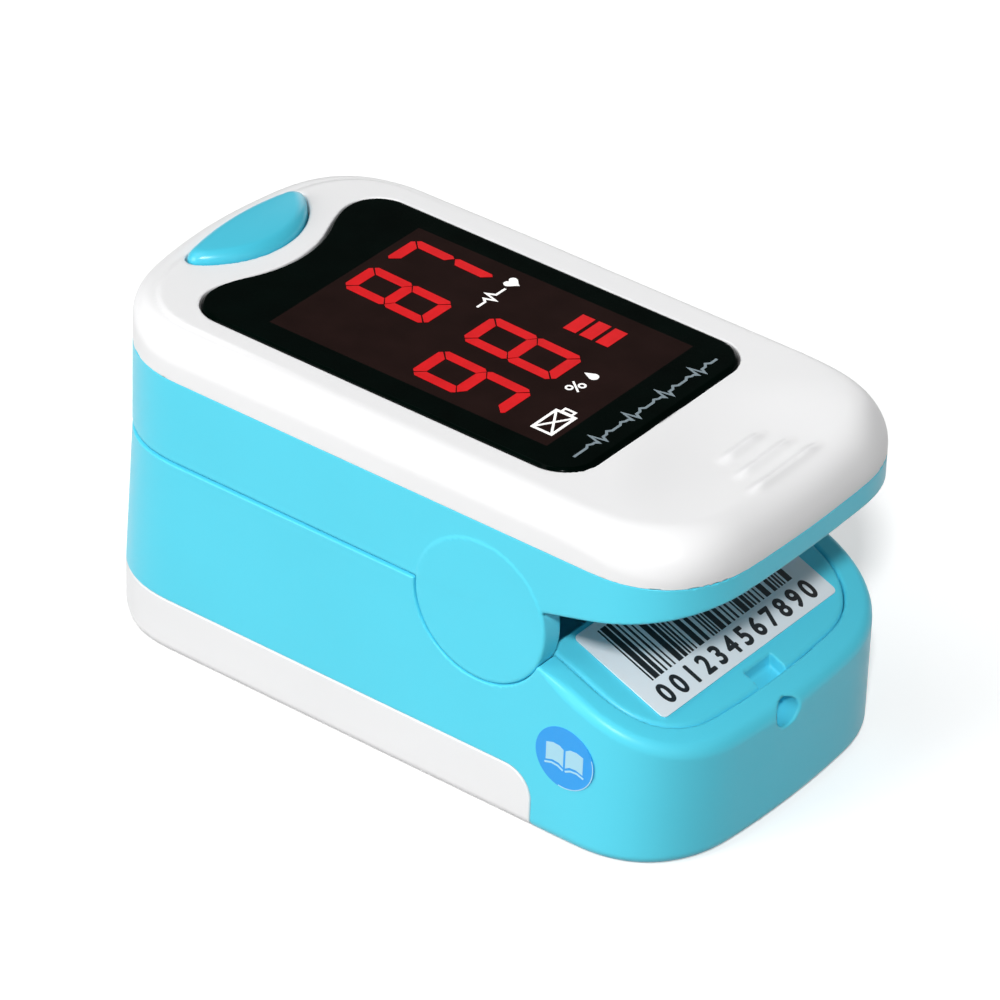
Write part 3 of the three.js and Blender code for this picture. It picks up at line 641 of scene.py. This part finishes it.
WHITE = plastic("white_abs", (0.865, 0.865, 0.87), 0.36, variation=0.012)
BLUE = plastic("blue_abs", srgb(90, 217, 241), 0.34, variation=0.02, specular=0.28)
KEY_BLUE = plastic("key_blue", srgb(72, 198, 224), 0.3, variation=0.02)
RUBBER = plastic("pad_silicone", srgb(62, 66, 70), 0.75, grain=0.00002, grain_scale=5000, sheen=0.2)
STEEL = plastic("drawn_steel", (0.56, 0.57, 0.59), 0.28, grain=0.000006, metallic=1.0)
NICKEL = plastic("nickel_plate", (0.68, 0.67, 0.62), 0.2, grain=0.000004, metallic=1.0)
CHIP = plastic("moulded_epoxy", (0.02, 0.02, 0.022), 0.5, grain=0.00001)
CELL_WRAP = plastic("cell_sleeve", srgb(38, 96, 74), 0.3, coat=0.4)
FLEX = plastic("polyimide", srgb(200, 118, 42), 0.4, variation=0.08)
CELL_BAND = plastic("cell_band", srgb(206, 188, 120), 0.3, coat=0.4)
DARK_RESIN = plastic("display_resin", srgb(33, 22, 20), 0.35)
WINDOW = plastic("red_filter", srgb(150, 26, 32), 0.12, coat=0.6)
CIRCUIT = plastic("solder_mask", srgb(24, 106, 66), 0.4, variation=0.12, coat=0.3)
PAPER = plastic("label_film", srgb(236, 242, 246), 0.45)
INK = plastic("label_ink", (0.012, 0.013, 0.015), 0.5)
STICKER = plastic("sticker_film", srgb(34, 155, 234), 0.35, variation=0.05)
# Pale print of the sticker's book. The same colour also paints a highlight on the lower right of the
# sticker's edge.
STICKER_PRINT_AND_EDGE_HIGHLIGHT = plastic("sticker_print_and_edge_highlight", srgb(170, 219, 237), 0.4)
LIT_RED = glowing("lit_red", srgb(181, 8, 15), 0.62)
LIT_WHITE = glowing("lit_white", srgb(238, 236, 234), 0.45)
PRINT_GREY = plastic("screen_print", srgb(126, 142, 150), 0.4)


def lens_material():
    """Black gloss border, and a smoky brown window over the display."""
    material, nodes, links, shader = new_material("smoked_lens")
    place = nodes.new("ShaderNodeTexCoord")
    parts = nodes.new("ShaderNodeSeparateXYZ")
    links.new(place.outputs["Object"], parts.inputs["Vector"])
    inside = None
    for axis, centre, half in (("X", -2.4, 13.5), ("Y", 0.0, 9.3)):
        offset = nodes.new("ShaderNodeMath")
        offset.operation = "SUBTRACT"
        offset.inputs[1].default_value = centre * MM
        links.new(parts.outputs[axis], offset.inputs[0])
        size = nodes.new("ShaderNodeMath")
        size.operation = "ABSOLUTE"
        links.new(offset.outputs[0], size.inputs[0])
        edge = nodes.new("ShaderNodeMapRange")
        preset(edge, {"From Min": (half - 0.06) * MM, "From Max": (half + 0.06) * MM})
        preset(edge, {"To Min": 1, "To Max": 0})
        links.new(size.outputs[0], edge.inputs["Value"])
        if inside is None:
            inside = edge.outputs["Result"]
        else:
            product = nodes.new("ShaderNodeMath")
            product.operation = "MULTIPLY"
            links.new(inside, product.inputs[0])
            links.new(edge.outputs["Result"], product.inputs[1])
            inside = product.outputs[0]
    mix = nodes.new("ShaderNodeMix")
    mix.data_type = "RGBA"
    links.new(inside, mix.inputs["Factor"])
    smoke = tinted(nodes, links, noise(nodes, links, 300), srgb(30, 18, 16), srgb(36, 22, 20))
    border = tinted(nodes, links, noise(nodes, links, 300), srgb(0, 5, 3), srgb(1, 9, 6))
    links.new(border, mix.inputs["A"])
    links.new(smoke, mix.inputs["B"])
    links.new(mix.outputs["Result"], shader.inputs["Base Color"])
    links.new(ranged(nodes, links, noise(nodes, links, 800), 0.1, 0.16), shader.inputs["Roughness"])
    preset(shader, {"Specular IOR Level": 0.04})
    return material


LENS = lens_material()


# ---- Camera, light and floor ----
CAMERA_TARGET = Vector((0.045, 0, 15.286)) * MM
CAMERA_DISTANCE = 508.7 * MM
CAMERA_TURNS = (36.55, 33.4, 2.27)  # azimuth, elevation and roll in degrees
LAMPS = (                  # name, place and size in metres, power in watts
    ("flash", (0.41, -0.58, 0.707), 0.09, 6.3),
    ("softbox", (-0.42, -0.82, 0.42), 0.55, 5.6),
    ("overhead", (-0.3, -0.3, 0.9), 0.6, 1.9),
    ("back", (-0.35, 0.85, 0.2), 0.5, 1.5),
    ("fill", (0.8, -0.15, 0.3), 0.4, 0.3),
)
FLOOR_HALF = 3000.0
FLOOR_GAP = 0.01


def place_camera():
    azimuth, elevation, roll = (math.radians(angle) for angle in CAMERA_TURNS)
    back = Vector((
        math.sin(azimuth) * math.cos(elevation),
        -math.cos(azimuth) * math.cos(elevation),
        math.sin(elevation),
    ))
    level = Vector((0, 0, 1)).cross(back).normalized()
    up = back.cross(level)
    right = math.cos(roll) * level + math.sin(roll) * up
    above = math.cos(roll) * up - math.sin(roll) * level
    data = bpy.data.cameras.new("camera")
    data.lens = 234
    data.sensor_width = 36
    data.clip_start = 0.01
    data.clip_end = 20
    camera = bpy.data.objects.new("camera", data)
    turn = Matrix((right, above, back)).transposed().to_4x4()
    camera.matrix_world = Matrix.Translation(CAMERA_TARGET + CAMERA_DISTANCE * back) @ turn
    bpy.context.scene.collection.objects.link(camera)
    bpy.context.scene.camera = camera


def place_lights():
    scene = bpy.context.scene
    scene.view_settings.view_transform = "Standard"
    world = bpy.data.worlds.new("studio")
    world.use_nodes = True
    preset(world.node_tree.nodes["Background"], {"Color": (1, 1, 1, 1), "Strength": 0.14})
    scene.world = world
    for name, place, size, power in LAMPS:
        lamp = bpy.data.lights.new(name, "AREA")
        lamp.size = size
        lamp.energy = power
        light = bpy.data.objects.new(name, lamp)
        light.location = place
        light.rotation_euler = (Vector(place) - CAMERA_TARGET).to_track_quat("Z", "Y").to_euler()
        scene.collection.objects.link(light)


def place_floor():
    """Pale floor that glows a little, so that it reads as white paper. It adds no bounce to the sides."""
    corners = np.array(rectangle(-FLOOR_HALF, FLOOR_HALF, -FLOOR_HALF, FLOOR_HALF))
    points = np.column_stack([corners, np.full(4, -FLOOR_GAP)])
    floor = mesh_object("floor", points, np.array([[0, 1, 2, 3]]))
    material, nodes, links, shader = new_material("pale_floor")
    pale = tinted(nodes, links, noise(nodes, links, 4), (0.9, 0.9, 0.9), (0.92, 0.92, 0.92))
    links.new(pale, shader.inputs["Base Color"])
    preset(shader, {"Roughness": 0.9, "Specular IOR Level": 0.1})
    preset(shader, {"Emission Color": (1, 1, 1, 1), "Emission Strength": 0.34})
    floor.data.materials.append(material)
    floor.visible_diffuse = False


# ---- Flat marks: prisms on a surface, drawn in their own plane ----
def prisms(name, outlines, place, thick):
    """A closed prism on each outline. place(u, v, w) gives the point in millimetres."""
    shape = bmesh.new()
    for outline in outlines:
        low = [shape.verts.new(Vector(place(u, v, 0)) * MM) for u, v in outline]
        high = [shape.verts.new(Vector(place(u, v, thick)) * MM) for u, v in outline]
        shape.faces.new(low)
        shape.faces.new(high)
        for k in range(len(low)):
            shape.faces.new((low[k - 1], low[k], high[k], high[k - 1]))
    bmesh.ops.recalc_face_normals(shape, faces=shape.faces)
    mesh = bpy.data.meshes.new(name)
    shape.to_mesh(mesh)
    shape.free()
    return linked(name, mesh)


def arc(centre_u, centre_v, radius, start, end, steps):
    """Points on an arc, its ends in degrees."""
    turns = (math.radians(start + (end - start) * k / steps) for k in range(steps + 1))
    return [(centre_u + radius * math.cos(t), centre_v + radius * math.sin(t)) for t in turns]


def rectangle(u0, u1, v0, v1, corner=0.0):
    """Corners in turn, each an arc where a corner radius is given."""
    if not corner:
        return [(u0, v0), (u1, v0), (u1, v1), (u0, v1)]
    low_u, high_u = u0 + corner, u1 - corner
    low_v, high_v = v0 + corner, v1 - corner
    points = []
    for turn, centre in enumerate(((high_u, high_v), (low_u, high_v), (low_u, low_v), (high_u, low_v))):
        points += arc(*centre, corner, 90 * turn, 90 * turn + 90, 8)
    return points


def stroke(points, width, closed=False):
    """A line of even width along points: one outline, or a quad for each side if it is closed."""
    line = [Vector(p) for p in points]
    last = len(line) - 1
    sides = []
    for k, here in enumerate(line):
        before = (here - line[k - 1]).normalized() if closed or k > 0 else None
        after = (line[k + 1 if k < last else 0] - here).normalized() if closed or k < last else None
        before, after = before or after, after or before
        across = Vector((-(before + after).y, (before + after).x)).normalized()
        reach = width / 2 / max(0.4, across.dot(Vector((-before.y, before.x))))
        sides.append((here + across * reach, here - across * reach))
    if closed:
        pairs = [(sides[k - 1], sides[k]) for k in range(len(sides))]
        return [[a[0], b[0], b[1], a[1]] for a, b in pairs]
    return [[left for left, _ in sides] + [right for _, right in reversed(sides)]]


SEGMENTS = {"7": "abc", "8": "abcdefg", "9": "abcdfg"}
SEGMENT_GAP = 0.055
LENS_MARK = 0.04           # thickness of a mark on the screen, of a film and of the print on a film
FILM = 0.1
PRINT_START = 0.095


def digit(figure, left, top, width, height, line, lean):
    """Outlines of a seven-segment figure. u runs to its right and v runs down it."""
    cut, gap, middle = 0.6 * line, SEGMENT_GAP, height / 2
    across = [(cut / 2 + gap, cut / 2 - gap), (cut, 0), (width - cut, 0),
              (width - cut / 2 - gap, cut / 2 - gap), (width - line - gap, line), (line + gap, line)]
    down = [(cut / 2 - gap, cut / 2 + gap), (line - gap, line + gap),
            (line - gap, middle - line / 2 - gap), (cut / 2 - gap, middle - gap),
            (0, middle - cut / 2 - gap), (0, cut)]
    centre = [(cut / 2 + gap, middle), (line, middle - line / 2), (width - line, middle - line / 2),
              (width - cut / 2 - gap, middle), (width - line, middle + line / 2),
              (line, middle + line / 2)]
    shapes = {
        "a": across, "d": [(u, height - v) for u, v in across],
        "f": down, "e": [(u, height - v) for u, v in down],
        "b": [(width - u, v) for u, v in down], "c": [(width - u, height - v) for u, v in down],
        "g": centre,
    }
    return [
        [(left + u + lean * (height - v), top + v) for u, v in shapes[key]]
        for key in SEGMENTS[figure]
    ]


# A mark's u runs to its right, v down or up its face and w out of it.
def on_lens(u, v, w):
    return v, u, LENS_HIGH[2] - 0.01 + w


def on_tail_plate(u, v, w):
    tilt = math.hypot(1, TAIL_DROP)
    return v + w * TAIL_DROP / tilt, u, tail_top(v) + 0.02 + w / tilt


def on_sticker(u, v, w):
    return STICKER_X + u, -LOWER_HALF + 0.07 - w, STICKER_Z + v


def lens_mark(name, outlines, material, slot="display"):
    settle(prisms(name, outlines, on_lens, LENS_MARK), "upper_jaw", slot, material)


def readings():
    """The two numbers in seven segments, and the three bars of the pulse's strength."""
    rate = {"width": 4.06, "height": 8.5, "line": 0.98, "lean": 0.04}
    saturation = {"width": 4.35, "height": 9.15, "line": 1.0, "lean": 0.035}
    upper = digit("8", -1.92, -15.05, **rate) + digit("7", 3.4, -15.05, **rate)
    lower = digit("9", -8.3, -3.25, **saturation) + digit("8", -1.94, -3.25, **saturation)
    lens_mark("rate_reading", upper, LIT_RED)
    lens_mark("saturation_reading", lower, LIT_RED)
    bars = [rectangle(4.86, 7.44, top, top + 1.2) for top in (1.85, 3.42, 5.0)]
    lens_mark("pulse_bars", bars, LIT_RED)


def heart_icon():
    heart = []
    for k in range(40):
        t = 2 * math.pi * k / 40
        across = 16 * math.sin(t) ** 3
        down = -(13 * math.cos(t) - 5 * math.cos(2 * t) - 2 * math.cos(3 * t) - math.cos(4 * t))
        heart.append((7.55 + 0.044 * across, -5.2 + 0.044 * down))
    beat = [(2.9, -5.05), (3.9, -5.05), (4.25, -5.45), (4.6, -4.55), (4.95, -5.75), (5.3, -5.05),
            (6.5, -5.05)]
    lens_mark("heart_icon", [heart] + stroke(beat, 0.2), LIT_WHITE)


def percent_icon():
    """A percent sign and a drop."""
    rings = stroke(arc(-1.7, 7.45, 0.27, 0, 330, 11), 0.16, True)
    rings += stroke(arc(-0.85, 8.05, 0.27, 0, 330, 11), 0.16, True)
    bar = stroke([(-1.75, 8.35), (-0.8, 7.15)], 0.17)
    drop = arc(0.75, 7.95, 0.42, -30, 210, 16) + [(0.75, 7.05)]
    lens_mark("percent_icon", rings + bar + [drop], LIT_WHITE)


def battery_icon():
    """An empty cell, crossed out."""
    body = stroke(rectangle(-7.85, -4.85, 8.62, 10.45), 0.24, True)
    cross = stroke([(-7.8, 8.66), (-4.9, 10.41)], 0.2) + stroke([(-7.8, 10.41), (-4.9, 8.66)], 0.2)
    nub = stroke(rectangle(-4.75, -4.25, 9.05, 10.0), 0.2, True)
    lens_mark("battery_icon", body + cross + nub, LIT_WHITE)


def pulse_trace():
    """A printed line with four beats along the screen's tail edge."""
    level = 13.6
    beat = ((0, 0), (0.35, 0.22), (0.7, 0), (1.0, 0), (1.2, -0.25), (1.5, 0.85), (1.8, -0.5),
            (2.05, 0), (2.5, 0), (2.85, 0.28), (3.2, 0))
    trace = [(-9.2, level)]
    for start in (-7.6, -3.4, 0.8, 5.0):
        trace += [(start + along, level - rise) for along, rise in beat]
    trace.append((9.0, level))
    lens_mark("pulse_trace", stroke(trace, 0.22), PRINT_GREY, "lens")


def label_figures():
    """The ten figures in a row. Eight copies, each shifted a little, make them bold."""
    text = bpy.data.curves.new("label_figures", "FONT")
    text.body = "001234567890"
    text.size = 2.3 * MM
    text.extrude = 0.01 * MM
    text.space_character = 1.46
    text.align_x = "CENTER"
    flat = baked(linked("label_figures_text", text))
    copies, shift, baseline = 8, 0.08, 24.0
    shape = bmesh.new()
    for copy in range(copies):
        first = len(shape.verts)
        shape.from_mesh(flat)
        shape.verts.ensure_lookup_table()
        angle = 2 * math.pi * copy / copies
        right, up = shift * math.cos(angle), shift * math.sin(angle)
        for vertex in shape.verts[first:]:
            u, v, w = vertex.co / MM
            height = w + PRINT_START + 0.01 + copy / 1000
            vertex.co = Vector(on_tail_plate(u + right, baseline - v - up, height)) * MM
    shape.to_mesh(flat)
    shape.free()
    settle(linked("label_figures", flat), "lower_body", "label", INK)


def tail_label():
    """Film label on the sloped tail plate, with bars of a made-up pattern and a row of figures."""
    film = prisms("serial_label_film", [rectangle(-11.3, 11.3, 15.85, 24.65, 0.45)], on_tail_plate, FILM)
    settle(film, "lower_body", "label", PAPER, "serial_label")
    widths = (0.17, 0.42, 0.24, 0.62, 0.2)
    gaps = (0.17, 0.3, 0.15, 0.4, 0.24, 0.16, 0.32)
    bars, place, step = [], -9.2, 0
    while place < 8.9:
        width = widths[step * 3 % 5]
        bars.append(rectangle(place, place + width, 16.5, 21.9))
        place += width + gaps[step * 2 % 7]
        step += 1
    ink = prisms("label_bars", bars, lambda u, v, w: on_tail_plate(u, v, w + PRINT_START), 0.015)
    settle(ink, "lower_body", "label", INK)
    label_figures()


def side_sticker():
    """Round sticker with an open book printed on it, and a pale arc at its lower right that is a painted
    highlight on its edge.
    """
    disc = prisms("guide_sticker_film", [arc(0, 0, STICKER_RADIUS, 0, 352, 44)], on_sticker, FILM)
    settle(disc, "lower_body", "sticker", STICKER, "guide_sticker")
    page = ((0.1, 0.75), (0.5, 1.0), (1.1, 1.05), (1.75, 0.85), (1.75, -0.75), (1.1, -0.55),
            (0.5, -0.6), (0.1, -0.85))
    cover = ((0.1, -1.15), (0.6, -0.9), (1.2, -0.85), (1.85, -1.05))
    marks = []
    for side in (-1, 1):
        marks.append([(side * u, v) for u, v in page])
        marks += stroke([(side * u, v) for u, v in cover], 0.16)
    # Painted highlight: a pale arc along the lower right of the sticker's edge, where the film's edge
    # catches the light.
    marks += stroke(arc(0, 0, STICKER_RADIUS - 0.06, -100, 20, 20), 0.08)
    # The book is print. The arc in the same piece is a painted highlight.
    ink = prisms("sticker_book_and_edge_highlight", marks, lambda u, v, w: on_sticker(u, v, w + PRINT_START), 0.02)
    settle(ink, "lower_body", "sticker", STICKER_PRINT_AND_EDGE_HIGHLIGHT)


# ---- Inside: wires, cells and screws ----
def wire(name, points, radius):
    """Round wire through points in millimetres, as a mesh."""
    data = bpy.data.curves.new(name, "CURVE")
    data.dimensions = "3D"
    data.bevel_depth = radius * MM
    data.bevel_resolution = 2
    data.use_fill_caps = True
    line = data.splines.new("POLY")
    line.points.add(len(points) - 1)
    for spot, point in zip(line.points, points):
        spot.co = (*(Vector(point) * MM), 1)
    mesh = baked(linked(name + "_path", data))
    mesh.name = name
    mesh.polygons.foreach_set("use_smooth", np.ones(len(mesh.polygons), bool))
    return linked(name, mesh)


def torsion_spring(side, hand):
    """Coil round the hinge pin with two arms that push the tails apart."""
    coil, start, width, arm = 1.9, 7.6, 2.4, 6.6
    share, turns, steps = 0.18, 3.5, 240
    points = []
    for k in range(steps + 1):
        t = k / steps
        inside = min(max((t - share) / (1 - 2 * share), 0), 1)
        before, after = max(0, share - t) / share, max(0, t - 1 + share) / share
        angle = -math.pi / 2 - 2 * math.pi * turns * inside
        points.append((
            HINGE_X + coil * math.cos(angle) + arm * (before + after),
            hand * (start + width * inside),
            HINGE_Z + coil * math.sin(angle) - 0.4 * arm * before + 0.36 * arm * after,
        ))
    piece = wire("torsion_spring_wire_" + side, points, 0.25)
    piece.data.materials.append(STEEL)
    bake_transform(piece)
    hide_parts("torsion_spring_" + side)


def contact_spring(side, hand):
    """Conical spring that presses a cell against the far contact."""
    low, high = extent("contact_spring_" + side)
    y, z = (low[1] + high[1]) / 2, (low[2] + high[2]) / 2
    turns, steps, inset = 2.5, 120, 0.25
    points = []
    for k in range(steps + 1):
        t = k / steps
        angle, reach = 2 * math.pi * turns * t, 3.2 - 1.5 * t
        x = low[0] + inset + (high[0] - low[0] - 2 * inset) * t
        points.append((x, y + reach * math.cos(angle), z + reach * math.sin(angle)))
    piece = wire("contact_spring_wire_" + side, points, 0.22)
    settle(piece, "lower_body", "steel", STEEL, "contact_spring_" + side)


def ribbon():
    """Printed flexible lead, bent into a U."""
    low, high = extent("jaw_ribbon")
    bend, edge, columns, rows_up = 1.4, 0.12, 12, 24
    rise = high[2] - low[2] - 2 * bend
    centre = low[0] + bend
    points = [(high[0], low[2] + edge)]
    points += arc(centre, low[2] + bend, bend - edge, 270, 180, 10)
    points += [(low[0] + edge, low[2] + bend + rise * k / rows_up) for k in range(1, rows_up)]
    points += arc(centre, high[2] - bend, bend - edge, 180, 90, 10)
    points.append((high[0], high[2] - edge))
    shape = bmesh.new()
    rows = []
    for x, z in points:
        places = (Vector((x, -3 + 6 * k / columns, z)) * MM for k in range(columns + 1))
        rows.append([shape.verts.new(place) for place in places])
    for a, b in zip(rows, rows[1:]):
        for k in range(columns):
            shape.faces.new((a[k], a[k + 1], b[k + 1], b[k]))
    mesh = bpy.data.meshes.new("jaw_ribbon_strip")
    bmesh.ops.solidify(shape, geom=shape.faces[:], thickness=0.2 * MM)
    bmesh.ops.recalc_face_normals(shape, faces=shape.faces)
    shape.to_mesh(mesh)
    shape.free()
    piece = linked("jaw_ribbon_strip", mesh)
    mesh.materials.append(FLEX)
    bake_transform(piece)
    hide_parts("jaw_ribbon")


# Radius and place along a cell, from its flat end to its nub, and which rows have which finish.
CELL_PROFILE = (
    (0, 0.25), (3.4, 0.25), (3.7, 0.0), (4.5, 0.0), (4.8, 0.12), (4.95, 0.4), (5.0, 0.75), (5.15, 0.85),
    (5.15, 9), (5.15, 18), (5.15, 27), (5.15, 35.5), (5.15, 38), (5.15, 41.9), (5.05, 42.2),
    (4.7, 42.35), (4.2, 42.5), (2.3, 42.5), (2.1, 42.75), (1.85, 43.7), (1.6, 44.0),
)
SLEEVE_ROWS = range(7, 11)
BAND_ROWS = range(11, 13)


def cell_piece(side):
    """AAA cell: sleeve with a pale band at the nub end, bare metal at both ends."""
    low, high = extent("cell_" + side)
    towards = 1 if side == "left" else -1
    y, z, length = (low[1] + high[1]) / 2, (low[2] + high[2]) / 2, high[0] - low[0]
    profile = (*CELL_PROFILE, (0, length))
    sides = 64
    angles = [2 * math.pi * k / sides for k in range(sides)]
    rings = np.array([
        [(along, radius * math.cos(angle), radius * math.sin(angle)) for angle in angles]
        for radius, along in profile
    ]).reshape(-1, 3)
    start = low[0] if towards > 0 else high[0]
    points = rings * (towards, towards, 1) + (start, y, z)
    quads = []
    for row in range(0, sides * (len(profile) - 1), sides):
        for k in range(sides):
            following = (k + 1) % sides
            quads.append((row + sides + k, row + sides + following, row + following, row + k))
    piece = mesh_object("cell_body_" + side, points, np.array(quads))
    settle(piece, "lower_body", "cell_wrap", CELL_WRAP, "cell_" + side)
    piece.data.materials.append(NICKEL)
    piece.data.materials.append(CELL_BAND)
    for polygon in piece.data.polygons:
        row = polygon.index // sides
        polygon.material_index = 0 if row in SLEEVE_ROWS else 2 if row in BAND_ROWS else 1
    tidy = bmesh.new()
    tidy.from_mesh(piece.data)
    bmesh.ops.remove_doubles(tidy, verts=tidy.verts, dist=1e-6)
    bmesh.ops.recalc_face_normals(tidy, faces=tidy.faces)
    tidy.to_mesh(piece.data)
    tidy.free()


def screw(node, body, head_radius, shank_radius):
    """Pan-head screw with a cross recess in its lower face and a thread."""
    low, high = extent(node)
    cx, cy = (low[0] + high[0]) / 2, (low[1] + high[1]) / 2
    pitch, depth = 0.7, 0.06

    def field(x, y, z):
        across, turn = np.hypot(x - cx, y - cy), np.arctan2(y - cy, x - cx)
        head = both(across - head_radius, slab(z, low[2], low[2] + 0.65), 0.2)
        thread = depth * np.cos(2 * math.pi * z / pitch - turn)
        shank = both(across - shank_radius + depth + thread, slab(z, low[2] + 0.4, high[2]), 0.1)
        arms = both(slab(x, cx - 0.13, cx + 0.13), np.abs(y - cy) - 0.65)
        bars = both(slab(y, cy - 0.13, cy + 0.13), np.abs(x - cx) - 0.65)
        recess = both(np.minimum(arms, bars), z - low[2] - 0.4)
        return carve(either(head, shank, 0.1), recess, 0.04)

    moulding(node, field, STEEL, "steel", body, ((), (), ()), 0.11, 0.11)


def pin(side, hand):
    """Hinge pin with round ends."""
    def field(x, y, z):
        return both(round_hinge(x, z, PIN_RADIUS), slab(hand * y, 7, 15), 0.25)

    moulding("hinge_pin_" + side, field, STEEL, "steel", "lower_body", ((), (), ()), 0.2, 0.2)


def inner_finishes():
    """The carried CAD pieces get the finish of their slot."""
    finishes = {
        "circuit": CIRCUIT, "chip": CHIP, "window": WINDOW, "nickel": NICKEL, "steel": STEEL,
        "display": DARK_RESIN, "white_plastic": WHITE,
    }
    for part in frame["record"]["subparts"]:
        item = frame["nodes"][part["node"]]
        if item.hide_render:
            continue
        item.data.materials.clear()
        item.data.materials.append(finishes[part["material_slot"]])


# ---- The pieces, in place of their CAD nodes ----
place_camera()
place_lights()
place_floor()

moulding("top_cover", top_cover, WHITE, "white_plastic", "upper_jaw",
         ((-28.2, 15.8, 29.0), (-15.6, -11.8, 11.8, 15.6), (COVER_SEAM, 28.4, TOP)), 0.32)
moulding("upper_housing", upper_housing, BLUE, "blue_plastic", "upper_jaw",
         ((-28.5, 29.3), (-15.92, -13.9, 13.9, 15.92), (JAW_SEAM, COVER_SEAM)), 0.28, 0.06)
moulding("lower_shell", lower_shell, BLUE, "blue_plastic", "lower_body",
         ((-29.3, DOOR_END, 27.5, 29.3), (-16.0, -13.8, 13.8, 16.0), (BATTERY_LINE, JAW_SEAM)), 0.26)
moulding("lower_frame", lower_frame, BLUE, "blue_plastic", "lower_body",
         ((-27, 25.3, 27), (-12, -1.6, 1.6, 12), (1.7, 12.6)), 0.3)
moulding("battery_cover", battery_cover, WHITE, "white_plastic", "battery_door",
         ((-29.3, DOOR_END), (-16.0, 16.0), (0.9, BATTERY_LINE)))
moulding("lower_finger_pad", lower_pad, RUBBER, "pad_rubber", "lower_body",
         ((-28.2, 5.5), (-10, 10), (14.2, 17.6)), fine=0.16)
moulding("upper_finger_pad", upper_pad, RUBBER, "pad_rubber", "upper_jaw",
         ((-28.2, 5.0), (-10, 10), (18.4, 21.7)), fine=0.16)
moulding("display_lens", display_lens, LENS, "lens", "upper_jaw",
         ((-22, 15.7), (-11.7, 11.7), (29.5,)), 0.22, 0.07)
moulding("power_button", power_button, KEY_BLUE, "button_plastic", "button",
         ((-27.2, -23), (-6.5, 6.5), (29.5,)), 0.25, 0.12)

readings()
heart_icon()
percent_icon()
battery_icon()
pulse_trace()
tail_label()
side_sticker()
for side, hand in (("left", -1), ("right", 1)):
    torsion_spring(side, hand)
    contact_spring(side, hand)
    cell_piece(side)
    pin(side, hand)
for index in range(1, 5):
    screw(f"frame_screw_{index}", "lower_body", 1.15, 0.6)
    screw(f"board_screw_{index}", "upper_jaw", 1.1, 0.5)
ribbon()
inner_finishes()
